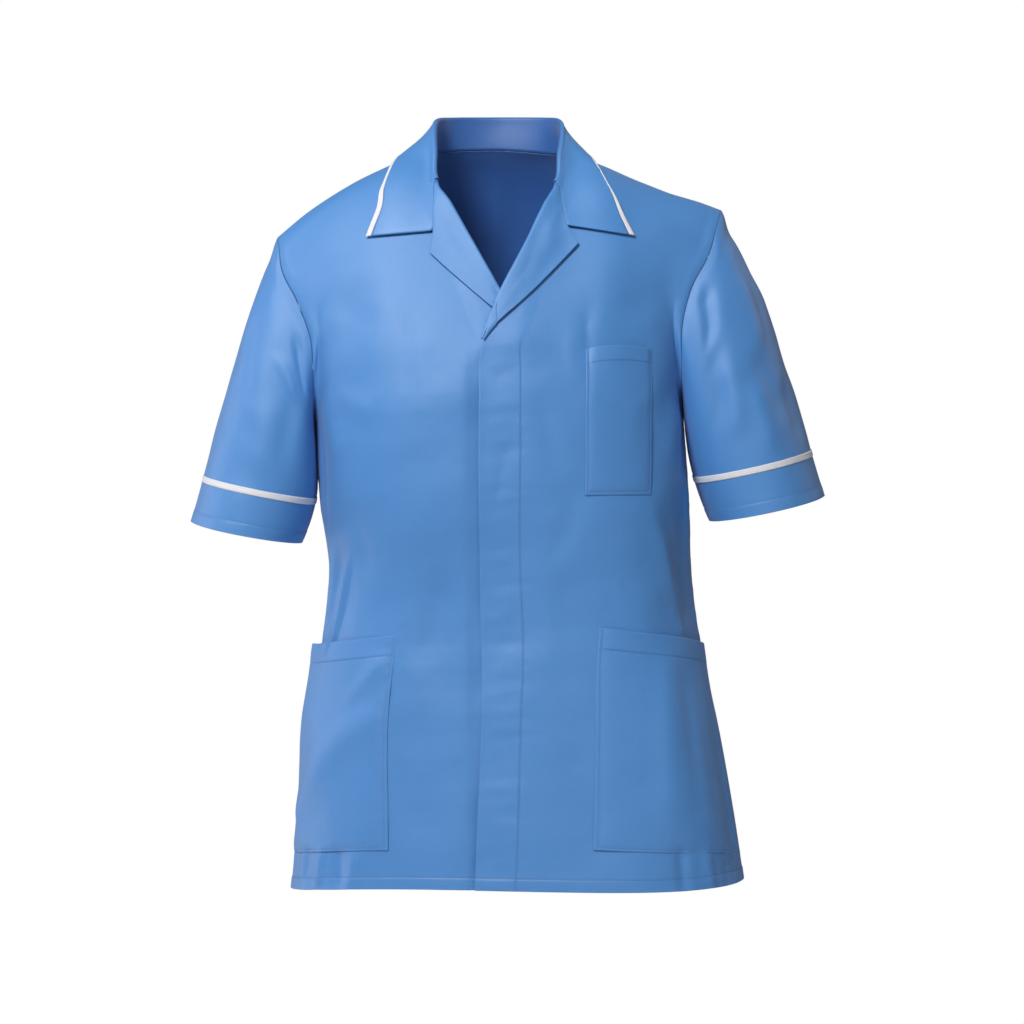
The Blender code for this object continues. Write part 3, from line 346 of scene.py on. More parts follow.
@dataclass(frozen=True)
class BodyForm:
    """The form under the fronts and the back, by level sections and columns above them."""

    sections: Rows = (
        (-757, -213, 250.5, 134, 118, 10), (-663, -204.5, 236, 130, 114, 9),
        (-581, -196.5, 221, 126, 108, 8), (-520, -184, 207.5, 122, 103, 7),
        (-480, -175.5, 201, 120, 100, 6), (-438, -172.5, 196, 121, 102, 5),
        (-357, -183, 193, 127, 115, 2), (-240, -189, 185, 128, 122, 0),
    )
    squareness: float = 0.12
    hem_side: float = -748.0
    hem_tilt: float = 8.0
    hem_front: float = -740.0
    hem_back: float = -757.0
    chest: float = -267.0
    chest_tilt: float = 11.0
    quarter_girth: float = 262.0
    half_width: float = 200.0
    skirt_length: float = 480.0
    bodice_length: float = 215.0
    column_length: float = 190.0
    hem_turn: float = 12.4
    neck_share: float = 0.30
    neck_point: float = 0.24
    blend: float = 0.45
    seam_gap: float = 0.3
    arm_turn: Pair = (0.85, 0.998)
    shoulders: tuple[Rows, Rows] = (
        (
            (0.3, -72, 6, 4), (0.46, -107.5, 6, -14.4), (0.63, -144, 6, -31.8),
            (0.79, -180.4, 6, -54.4), (0.9, -203, 6, -70), (1, -225.7, 6, -89),
        ),
        (
            (0.3, 72, 6, -4), (0.46, 108.1, 6, -18), (0.63, 144, 6, -33.2), (0.79, 178.6, 6, -46.8),
            (0.9, 202.1, 6, -53), (1, 225.4, 6, -61.5),
        ),
    )
    front_neck: Rows = (
        (-0.3, -72, 6, 4), (-0.27, -69.5, -20, -15), (-0.24, -63.5, -45, -36),
        (-0.21, -56.5, -52, -40.5), (-0.12, -35, -62, -50), (0, -2, -69, -58), (0.12, 31, -62, -51),
        (0.21, 50.5, -52, -43), (0.24, 57, -45, -38.5), (0.27, 67, -20, -19), (0.3, 72, 6, -4),
    )
    back_neck: Rows = (
        (-0.3, -72, 6, 4), (-0.22, -62, 34, -1), (-0.12, -38, 55, 1), (0, 0, 63, 2),
        (0.12, 37, 55, -1), (0.22, 60, 34, -4), (0.3, 72, 6, -4),
    )
    front_armholes: tuple[Rows, Rows] = (
        (
            (0.15, -187.5, -35, -261), (0.3, -187, -53, -226), (0.45, -190, -53, -192),
            (0.6, -203, -42, -157), (0.8, -220.5, -23, -121), (0.9, -223.6, -12, -100),
            (0.96, -225.2, -3, -91.5),
        ),
        (
            (0.15, 184.5, -34, -243), (0.3, 183, -52, -212), (0.45, 184, -54, -178),
            (0.6, 193, -46, -143), (0.8, 213, -29, -104), (0.9, 220, -17, -80), (0.96, 223.8, -5, -66),
        ),
    )
    back_armholes: tuple[Rows, Rows] = (
        (
            (0.15, -190, 35, -262), (0.3, -192, 54, -228), (0.45, -197, 57, -192),
            (0.6, -207, 47, -157), (0.8, -220, 30, -119), (0.9, -223.4, 22, -100),
            (0.96, -225.2, 14, -91.5),
        ),
        (
            (0.15, 188, 35, -241), (0.3, 190, 54, -209), (0.45, 196, 57, -174), (0.6, 206, 47, -137),
            (0.8, 218, 30, -92), (0.9, 222.2, 22, -72.5), (0.96, 224.6, 14, -64),
        ),
    )
    front_reach: Rows = (
        (0, 60, 0, 20, 50), (0.24, 70, 0, 34, 44), (0.3, 75, 0, 52, 16), (0.6, 75, 0, 64, 4),
        (0.85, 60, 18, 58, 18), (1, 22, 62, 46, 52),
    )
    back_reach: Rows = (
        (0, 85, 0, 32, 42), (0.24, 85, 0, 44, 24), (0.3, 85, 0, 54, 12), (0.6, 80, 0, 66, 4),
        (0.85, 62, 18, 58, 18), (1, 22, 62, 46, 52),
    )
    right_edge: Rows = (
        (-745, 16.5), (-550, 23.5), (-412, 21.5), (-254, 20.5), (-188, 20), (-172, 13.5), (-146, -1),
        (-94, -30.5), (-36, -63.5),
    )
    left_edge: Rows = (
        (-745, -23.8), (-550, -16.9), (-412, -18.8), (-254, -19.5), (-205, -17.5), (-180, -10),
        (-146, 4.5), (-94, 30.5), (-38.5, 57),
    )
    fly: Rows = (
        (-745, 16), (-707, 18), (-570, 22), (-501, 24.5), (-412, 21), (-300, 21.5), (-185, 22),
        (-120, 24),
    )
    lap_lift: float = 1.0
    lap_fade: Pair = (22.0, 70.0)
    crossing_lift: float = 4.6
    crossing: Pair = (-230.0, -185.0)
    lap_dip: float = 3.4
    dip_across: Pair = (-37.0, -20.0)
    dip_top: Pair = (-232.0, -200.0)
    hem_ridge: float = 0.45
    hem_groove: float = 0.3
    seam_pucker: float = 0.5
    seam_ridge: float = 0.55
    shoulder_ridge: float = 0.35

    def edge_table(self, side: Side) -> Rows:
        """Level and x of a front's edge and, above it, of its roll line."""
        return self.left_edge if side == Side.LEFT else self.right_edge

    def ring(self, share: Array, level: Array, face: int) -> Array:
        """Points of the body's level section.

        Args:
            share, level: Places.
            face: Front or back.

        Returns:
            Points.
        """
        right, left, front, back, turn = np.moveaxis(spline(self.sections, level), -1, 0)
        depth = front if face == Face.FRONT else back
        turn = np.radians(turn)
        mean = (front + back) / 2
        half = np.sqrt(((left - right) / 2) ** 2 - (mean * np.sin(turn)) ** 2) / np.cos(turn)
        angle = np.radians(90 * share)
        across = half * np.sin(angle) * (1 + self.squareness * np.cos(angle) ** 2)
        deep = -face * depth * np.cos(angle) * (1 + self.squareness * np.sin(angle) ** 2)
        x = across * np.cos(turn) + deep * np.sin(turn) + (left + right) / 2
        y = deep * np.cos(turn) - across * np.sin(turn)
        return np.stack([x, y, level + 0 * x], axis=-1)

    def chest_level(self, share: Array) -> Array:
        """Level of the row where the columns begin."""
        return self.chest + self.chest_tilt * np.sin(np.radians(90 * share))

    def hem_level(self, share: Array, face: int) -> Array:
        """Level of the hem.

        Args:
            share: Places.
            face: Front or back.

        Returns:
            Levels.
        """
        angle = np.radians(90 * share)
        side = self.hem_side + self.hem_tilt * np.sin(angle)
        centre = self.hem_front if face == Face.FRONT else self.hem_back
        return side + (centre - side) * np.cos(angle) ** 2

    def top_line(self, share: Any, face: int) -> Array:
        """Neck line near the centre and shoulder line from there to each armhole.

        Args:
            share: Places.
            face: Front or back.

        Returns:
            Points.
        """
        share = np.asarray(share, float)
        points = spline(self.front_neck if face == Face.FRONT else self.back_neck, share)
        for side, rows in zip(SIDES, self.shoulders):
            shoulder = spline(rows, np.abs(share))
            points = np.where((share * side > self.neck_share)[..., None], shoulder, points)
        return points

    def armhole_line(self, rise: Array, face: int, side: Side) -> Array:
        """Armhole from the underarm (0) to the shoulder (1).

        Args:
            rise: Places.
            face: Front or back.
            side: The wearer's side.

        Returns:
            Points.
        """
        share = np.array(float(side))
        underarm = self.ring(share, self.chest_level(share), face)
        lines = self.front_armholes if face == Face.FRONT else self.back_armholes
        shoulder = self.shoulders[side.place][-1][1:]
        return spline(((0.0, *underarm), *lines[side.place], (1.0, *shoulder)), rise)

    def column(self, share: Array, rise: Array, face: int) -> Array:
        """Points of the columns between the chest row (0) and the top line (1).

        Args:
            share, rise: Places.
            face: Front or back.

        Returns:
            Points.
        """
        foot = self.ring(share, self.chest_level(share), face)
        lean = foot - self.ring(share, self.chest_level(share) - 1.0, face)
        reach = self.front_reach if face == Face.FRONT else self.back_reach
        up, away, head_away, head_down = np.moveaxis(spline(reach, np.abs(share)), -1, 0)
        none = np.zeros_like(up)
        foot_handle = lean * up[..., None] + np.stack([none, -face * away, none], axis=-1)
        head_handle = np.stack([none, -face * head_away, -head_down], axis=-1)
        head = self.top_line(share, face)
        return bezier(foot, foot + foot_handle, head + head_handle, head, rise)

    def torso(self, share: Any, rise: Any, face: int) -> Array:
        """Points of the body's form on its front or its back.

        Args:
            share, rise: Places.
            face: Front or back.

        Returns:
            Points.
        """
        share, rise = np.broadcast_arrays(np.asarray(share, float), np.asarray(rise, float))
        hem = self.hem_level(share, face)
        level = hem + (self.chest_level(share) - hem) * (np.minimum(rise, 0.0) + 1.0)
        high = np.maximum(rise, 0.0)
        upper = self.column(share, high, face)
        for side in SIDES:
            edge = self.column(np.full_like(share, side), high, face)
            near = ramp(self.blend, 1.0, share * side)
            upper = upper + (self.armhole_line(high, face, side) - edge) * near[..., None]
        return np.where((rise < 0)[..., None], self.ring(share, level, face), upper)

    def normal(self, share: Array, rise: Array, face: int) -> Array:
        """Unit normals of the body's form, pointing out.

        Args:
            share, rise: Places.
            face: Front or back.

        Returns:
            Directions.
        """
        step = 1e-3
        across = self.torso(share + step, rise, face) - self.torso(share - step, rise, face)
        top = np.minimum(rise + step, 1.0)
        along = self.torso(share, top, face) - self.torso(share, top - 2 * step, face)
        return unit(np.cross(across, along)) * face

    def line_share(self, rise: Array, rows: Rows) -> Array:
        """Share of the way at which a line, given by its levels and x, crosses each row.

        Args:
            rise: Rises of the rows.
            rows: Levels and x of the line.

        Returns:
            Shares.
        """
        share, step = np.zeros_like(rise), 1e-3
        for _ in range(12):
            here = self.torso(share, rise, Face.FRONT)
            beside = self.torso(share + step, rise, Face.FRONT)
            gap = spline(rows, here[..., 2])[..., 0] - here[..., 0]
            gap_beside = spline(rows, beside[..., 2])[..., 0] - beside[..., 0]
            share = share - np.clip(gap * step / (gap_beside - gap), -0.1, 0.1)
        return share

    def edge_share(self, rise: Array, side: Side) -> Array:
        """Share of the way at which a front's edge or roll line crosses a row."""
        share = self.line_share(rise, self.edge_table(side))
        return share + (side * self.neck_point - share) * ramp(0.92, 0.99, rise)

    def locate(self, x: Any, z: Any, start: Any = None) -> tuple[Array, Array]:
        """Finds the places on the front's form with the given x and z.

        Args:
            x: Distances to the wearer's left.
            z: Levels.
            start: Shares and rises to search from, where they are known roughly.

        Returns:
            Shares and rises.
        """
        share, height = np.asarray(x, float) / self.half_width, z - self.chest
        rise = np.where(height < 0, height / self.skirt_length, height / self.half_width)
        if start is not None:
            share, rise = start[0] + 0 * share, start[1] + 0 * share
        step = 1e-4
        for _ in range(20):
            here = self.torso(share, rise, Face.FRONT)
            in_share = (self.torso(share + step, rise, Face.FRONT) - here) / step
            in_rise = (self.torso(share, rise + step, Face.FRONT) - here) / step
            miss_x, miss_z = x - here[..., 0], z - here[..., 2]
            cross = in_share[..., 0] * in_rise[..., 2] - in_rise[..., 0] * in_share[..., 2]
            move = (miss_x * in_rise[..., 2] - miss_z * in_rise[..., 0]) / cross
            lift = (miss_z * in_share[..., 0] - miss_x * in_share[..., 2]) / cross
            share, rise = share + np.clip(move, -0.2, 0.2), rise + np.clip(lift, -0.2, 0.2)
        return share, rise

    def sewing(self, share: Array, rise: Array, face: int) -> Array:
        """Heights of the hem's turned cloth, seam allowances, puckers and soft unevenness.

        Args:
            share, rise: Places.
            face: Front or back.

        Returns:
            Heights.
        """
        level = self.torso(share, rise, face)[..., 2]
        arc, hem = share * self.quarter_girth, (rise + 1) * self.skirt_length
        side = (1 - np.abs(share)) * self.quarter_girth
        below, above = rise < 0, rise >= 0
        uneven = 0.42 * ripple(arc, level, 62, 0.4 + face) + 0.1 * ripple(arc, level, 21, 1.3)
        uneven = uneven + 0.9 * ripple(arc, level, 128, 1.9 * face)
        height = uneven * ramp(0, 14, side) * (1 - ramp(0.93, 1.0, rise))
        height += self.hem_ridge * (1 - ramp(11.4, 13.2, hem))
        height -= self.hem_groove * bump(hem, self.hem_turn, 0.9)
        height += 0.22 * ripple(arc, level * 0.15, 17, 2.2) * bump(hem, 12, 9)
        along = ripple(arc * 0.12, level, 19, 0.9 * face)
        height += self.seam_pucker * along * bump(side, 0, 11) * ramp(0, 4, side) * below
        ridge = bump(side, 5.2, 3.0) * (self.seam_ridge + 0.25 * along) * above
        height += ridge * (1 - ramp(0.9, 1.0, rise)) * ramp(0.0, 0.15, rise)
        shoulder = ramp(self.neck_share, self.neck_share + 0.06, np.abs(share))
        turned = self.shoulder_ridge * bump((1 - rise) * self.column_length, 6, 3.5) * shoulder
        return height + turned * above * (face == Face.BACK)

    def heights(self, share: Array, rise: Array, face: int) -> Array:
        """Heights of all folds of the cloth over the form.

        Args:
            share, rise: Places.
            face: Front or back.

        Returns:
            Heights.
        """
        level = self.torso(share, rise, face)[..., 2]
        folds = FRONT_FOLDS if face == Face.FRONT else BACK_FOLDS
        height = folds_at(folds, share * self.quarter_girth, level)
        height = height * (1 - ramp(0.86, 0.98, np.abs(share)))
        return height * (1 - ramp(0.9, 1.0, rise))

    def front(self, share: Array, rise: Array, side: Side, lift: Any = 0.0) -> Array:
        """Outer face of a front, or points at a height above it.

        Args:
            share, rise: Places.
            side: The wearer's side.
            lift: Heights over the face.

        Returns:
            Points.
        """
        points = self.torso(share, rise, Face.FRONT)
        near = 1.0 - ramp(*self.lap_fade, points[..., 0] * side)
        crossing = ramp(*self.crossing, points[..., 2]) * (side == Side.LEFT)
        lap = side * near * (self.lap_lift + self.crossing_lift * crossing)
        if side == Side.RIGHT:
            under = ramp(*self.dip_across, points[..., 0])
            uneven = 1 + 0.3 * ripple(0 * under, points[..., 2], 90, 1.1)
            lap = lap - self.lap_dip * under * uneven * (1 - ramp(*self.dip_top, points[..., 2]))
        height = self.heights(share, rise, Face.FRONT) + lap + lift
        return points + self.normal(share, rise, Face.FRONT) * np.asarray(height)[..., None]

    def back(self, share: Array, rise: Array, lift: Any = 0.0) -> Array:
        """Outer face of the back, or points at a height above it.

        Args:
            share, rise: Places.
            lift: Heights over the face.

        Returns:
            Points.
        """
        height = self.heights(share, rise, Face.BACK) + lift
        normal = self.normal(share, rise, Face.BACK)
        return self.torso(share, rise, Face.BACK) + normal * np.asarray(height)[..., None]

    def over(self, share: Array, over: Array, lift: Any) -> Array:
        """Points at a height over the front and, past the shoulder seam (1), over the back.

        Args:
            share, over: Places.
            lift: Heights.

        Returns:
            Points.
        """
        share, over = np.broadcast_arrays(np.asarray(share, float), over)
        rise = np.where(over > 1, 2 - over, over)
        ahead, after = [
            self.torso(share, rise, face) + self.normal(share, rise, face) * lift for face in Face
        ]
        return np.where((over > 1)[..., None], after, ahead)

    def neck_seam(self, share: Any, start: float) -> Array:
        """The neck seam from the right lapel round the back (0.5) to the left lapel (1).

        Args:
            share: Shares of the way round.
            start: Share of the front at which it starts.

        Returns:
            Points.
        """
        front = np.linspace(start, self.neck_share, 12)
        back = np.linspace(-self.neck_share, self.neck_share, 48)
        around = self.top_line(back, Face.BACK)[1:-1]
        ends = self.top_line(-front, Face.FRONT), self.top_line(front[::-1], Face.FRONT)
        line = np.concatenate([ends[0], around, ends[1]])
        length = np.concatenate([[0], np.cumsum(gaps(line, 0))])
        at = np.asarray(share) * length[-1]
        return np.stack([np.interp(at, length, line[:, axis]) for axis in range(3)], axis=-1)


BODY = BodyForm()


def surface_tree(grid: Array, facing: int) -> BVHTree:
    """Search tree of the surface through a grid of points, with its faces turned out.

    Args:
        grid: The points.
        facing: 1 or -1.

    Returns:
        The tree.
    """
    across, along = grid.shape[:2]
    lines, rows = np.meshgrid(np.arange(across - 1), np.arange(along - 1), indexing="ij")
    here = lines * along + rows
    faces = np.stack([here, here + along, here + along + 1, here + 1], axis=-1).reshape(-1, 4)
    return BVHTree.FromPolygons(grid.reshape(-1, 3).tolist(), faces[:, ::facing].tolist())


def laid_on(tree: BVHTree, x: Array, z: Array, spare: Array) -> Array:
    """Points of a front's cloth at places seen from ahead, and spare ones beside the cloth.

    Args:
        tree: The front's tree.
        x, z: Places.
        spare: The spare points.

    Returns:
        Points.
    """
    points = spare.copy()
    for index in np.ndindex(x.shape):
        start = Vector((x[index], AHEAD, z[index]))
        place = tree.ray_cast(start, Vector((0.0, 1.0, 0.0)))[0]
        if place is not None:
            points[index] = place
    return points


def keep_off(grid: Array, clearance: Any, trees: list[BVHTree]) -> Array:
    """Moves points out of the body so that each is at least its clearance away from it.

    Args:
        grid: The points.
        clearance: Clearances.
        trees: Trees of the body's pieces.

    Returns:
        The moved points.
    """
    moved = grid.copy()
    clearance = np.broadcast_to(clearance, grid.shape[:-1])
    for index in np.ndindex(grid.shape[:-1]):
        point = Vector(grid[index])
        place, normal = min((t.find_nearest(point)[:4] for t in trees), key=lambda h: h[3])[:2]
        height = (point - place).dot(normal)
        beside = (point - place - normal * height).length
        if height < clearance[index] and beside < 0.3 + abs(height) / 2:
            moved[index] = point + normal * (clearance[index] - height)
    return moved


def at_distances(lines: Array, distances: Array) -> Array:
    """Points of each line at the given distances from its last point.

    Args:
        lines: Points of the lines.
        distances: Distances, by line.

    Returns:
        Points.
    """
    steps = gaps(lines, 1)[:, ::-1]
    back = np.concatenate([np.zeros((len(lines), 1)), np.cumsum(steps, axis=1)], axis=1)
    places = np.empty((*distances.shape, 3))
    for row, line in enumerate(lines):
        for axis in range(3):
            places[row, :, axis] = np.interp(distances[row], back[row], line[::-1, axis])
    return places


def lengths(lines: Array) -> Array:
    """Length of each line of points."""
    return gaps(lines, 1).sum(axis=1)


def add_object(name: str, data: bpy.types.ID) -> bpy.types.Object:
    """Adds an object with the given mesh, lamp or camera to the scene.

    Args:
        name: The object's name.
        data: What it shows.

    Returns:
        The object.
    """
    made = bpy.data.objects.new(name, data)
    bpy.context.scene.collection.objects.link(made)
    return made


class Value:
    """A socket of a material's nodes that can be used in sums and products."""

    def __init__(self, tree: Tree, socket: bpy.types.NodeSocket) -> None:
        """Keeps the tree and the socket."""
        self.tree, self.socket = tree, socket

    def math(self, operation: str, *others: Any) -> "Value":
        """A Math node of this value and others."""
        return node(self.tree, "ShaderNodeMath", {"operation": operation}, self, *others)

    def __add__(self, other: Any) -> "Value":
        """This value plus another."""
        return self.math("ADD", other)

    def __mul__(self, other: Any) -> "Value":
        """This value times another."""
        return self.math("MULTIPLY", other)

    def __sub__(self, other: Any) -> "Value":
        """This value less another."""
        return self.math("SUBTRACT", other)

    def __rsub__(self, other: Any) -> "Value":
        """Another value less this one."""
        return node(self.tree, "ShaderNodeMath", {"operation": "SUBTRACT"}, other, self)

    def output(self, name: str) -> "Value":
        """Another output of this value's node."""
        return Value(self.tree, self.socket.node.outputs[name])

    __radd__ = __add__
    __rmul__ = __mul__


def feed(value: Any, socket: bpy.types.NodeSocket) -> None:
    """Links a value to a socket, or sets the socket to a plain number or colour.

    Args:
        value: The value.
        socket: The socket that takes it.
    """
    if isinstance(value, Value):
        value.tree.links.new(value.socket, socket)
    else:
        socket.default_value = value


def node(tree: Tree, kind: str, settings: dict[str, Any], *inputs: Any, **named: Any) -> Value:
    """Adds a node to a tree.

    Args:
        tree: The node tree.
        kind: The node's type.
        settings: Its settings, set before its sockets.
        *inputs: Values or links of its first sockets, in order, and None to leave one.
        **named: Values or links of sockets by name, with _ for a space.

    Returns:
        Its first output that is in use.
    """
    made = tree.nodes.new(kind)
    for name, value in settings.items():
        setattr(made, name, value)
    slots = [(made.inputs[place], value) for place, value in enumerate(inputs) if value is not None]
    slots += [(made.inputs[name.replace("_", " ")], value) for name, value in named.items()]
    for socket, value in slots:
        feed(value, socket)
    outputs = [socket for socket in made.outputs if socket.enabled]
    return Value(tree, outputs[0]) if outputs else Value(tree, None)


def mix(tree: Tree, factor: Any, first: Any, second: Any) -> Value:
    """A mix of two colours.

    Args:
        tree: The node tree.
        factor: Share of the second colour.
        first, second: The colours.

    Returns:
        The mix.
    """
    made = tree.nodes.new("ShaderNodeMix")
    made.data_type = "RGBA"
    for place, value in ((0, factor), (6, first), (7, second)):
        feed(value, made.inputs[place])
    return Value(tree, made.outputs[2])


@dataclass(frozen=True)
class ClothFinish:
    """A woven finish, from its colours, its sheen and the threads of its weave; its inner colour is
    painted shade for the garment's inside.
    """

    name: str
    lit: Point
    deep: Point
    # inner: a darker colour painted on the garment's inside and the collar stand's inner face, as
    # painted shade
    inner: Point
    roughness: float
    sheen: float
    sheen_tint: Point
    thread: float
    relief: float
    twill: float = 0.0

    def weave(self, tree: Tree, uv: Value) -> Value:
        """Height of the crossing threads, from 0 to 1.

        Args:
            tree: The node tree.
            uv: Places on the cloth.

        Returns:
            The height.
        """
        split = node(tree, "ShaderNodeSeparateXYZ", {}, uv)
        u, v = split.output("X"), split.output("Y")
        turns = 2 * math.pi / self.thread
        warp = (u * turns + v * (turns * self.twill)).math("SINE")
        return warp * (v * turns).math("SINE") * 0.5 + 0.5

    def slubs(self, tree: Tree, uv: Value) -> Value:
        """Sum of long uneven threads along the cloth and across it.

        Args:
            tree: The node tree.
            uv: Places on the cloth.

        Returns:
            The sum.
        """
        threads = []
        for scale in ((900, 60, 1), (60, 900, 1)):
            place = node(tree, "ShaderNodeVectorMath", {"operation": "MULTIPLY"}, uv, scale)
            threads.append(node(tree, "ShaderNodeTexNoise", {}, place, Scale=1.0, Detail=2.0))
        return threads[0] + threads[1]

    def make(self) -> Material:
        """Builds the material with its weave, slubs, tone and darker stitch lines, and with painted
        shade on the garment's inside and along the lapels' top edges.

        Returns:
            The material.
        """
        finish = bpy.data.materials.new(self.name)
        finish.use_nodes = True
        tree = finish.node_tree
        uv = node(tree, "ShaderNodeUVMap", {"uv_map": "cloth"})
        place = node(tree, "ShaderNodeTexCoord", {}).output("Object")
        weave, slubs = self.weave(tree, uv), self.slubs(tree, uv)
        tone = node(tree, "ShaderNodeTexNoise", {}, place, Scale=5.0, Detail=3.0, Roughness=0.6)
        line, rim, within = [
            node(tree, "ShaderNodeAttribute", {"attribute_name": name}).output("Fac")
            for name in ("line", "rim", "within")
        ]
        shade = (slubs - 1.0) * 0.5 + (tone - 0.5) * 0.35 + (weave - 0.5) * 0.12 + rim * 0.22
        lighter = (shade + 0.5).math("MAXIMUM", 0.0).math("MINIMUM", 1.0)
        colour = mix(tree, lighter, (*self.deep, 1), (*self.lit, 1))
        # Painted shade: the garment's inside and the collar stand's inner face are darkened towards the
        # inner colour.
        colour = mix(tree, within, colour, (*self.inner, 1))
        # dark: colour of stitch lines and seams, and of the painted shadow along the lapels' top edges
        dark = tuple(part * 0.55 for part in self.deep)
        relief = weave * self.relief + slubs * (self.relief * 0.6)
        sockets = {
            "Base Color": mix(tree, line * 0.6, colour, (*dark, 1)),
            "Roughness": (tone - 0.5) * 0.12 + (weave * -0.05 + (self.roughness + 0.02)),
            "Normal": node(tree, "ShaderNodeBump", {}, Strength=0.55, Distance=MM, Height=relief),
            "Sheen Weight": self.sheen,
            "Sheen Roughness": 0.55,
            "Sheen Tint": (*self.sheen_tint, 1),
            "Specular IOR Level": 0.9,
        }
        for name, value in sockets.items():
            feed(value, tree.nodes["Principled BSDF"].inputs[name])
        return finish


# The third colour of each finish is painted shade for the garment's inside.
POLYCOTTON = ClothFinish(
    "blue_polycotton_cloth",
    (0.066, 0.264, 0.640), (0.042, 0.218, 0.570), (0.014, 0.100, 0.380),
    0.50, 0.14, (0.95, 0.95, 1.0), 0.00056, 0.10,
)
TAPE = ClothFinish(
    "white_woven_tape",
    (0.82, 0.82, 0.84), (0.70, 0.71, 0.75), (0.70, 0.71, 0.75),
    0.66, 0.12, (1.0, 1.0, 1.0), 0.0007, 0.16, 1.0,
)
THREAD = ClothFinish(
    "blue_sewing_thread",
    (0.10, 0.30, 0.66), (0.07, 0.24, 0.58), (0.03, 0.14, 0.45),
    0.55, 0.1, (0.9, 0.92, 1.0), 0.0002, 0.05, 1.0,
)


@dataclass(frozen=True)
class FloorFinish:
    """The pale matt floor."""

    colour: Point = (0.86, 0.86, 0.87)

    def make(self) -> Material:
        """Builds the material with a faint unevenness.

        Returns:
            The material.
        """
        finish = bpy.data.materials.new("pale_floor")
        finish.use_nodes = True
        tree = finish.node_tree
        shader = tree.nodes["Principled BSDF"]
        place = node(tree, "ShaderNodeTexCoord", {}).output("Object")
        grain = node(tree, "ShaderNodeTexNoise", {}, place, Scale=9.0, Detail=4.0)
        dull = tuple(part * 0.97 for part in self.colour)
        feed(mix(tree, grain, (*self.colour, 1), (*dull, 1)), shader.inputs["Base Color"])
        feed(0.6, shader.inputs["Roughness"])
        return finish


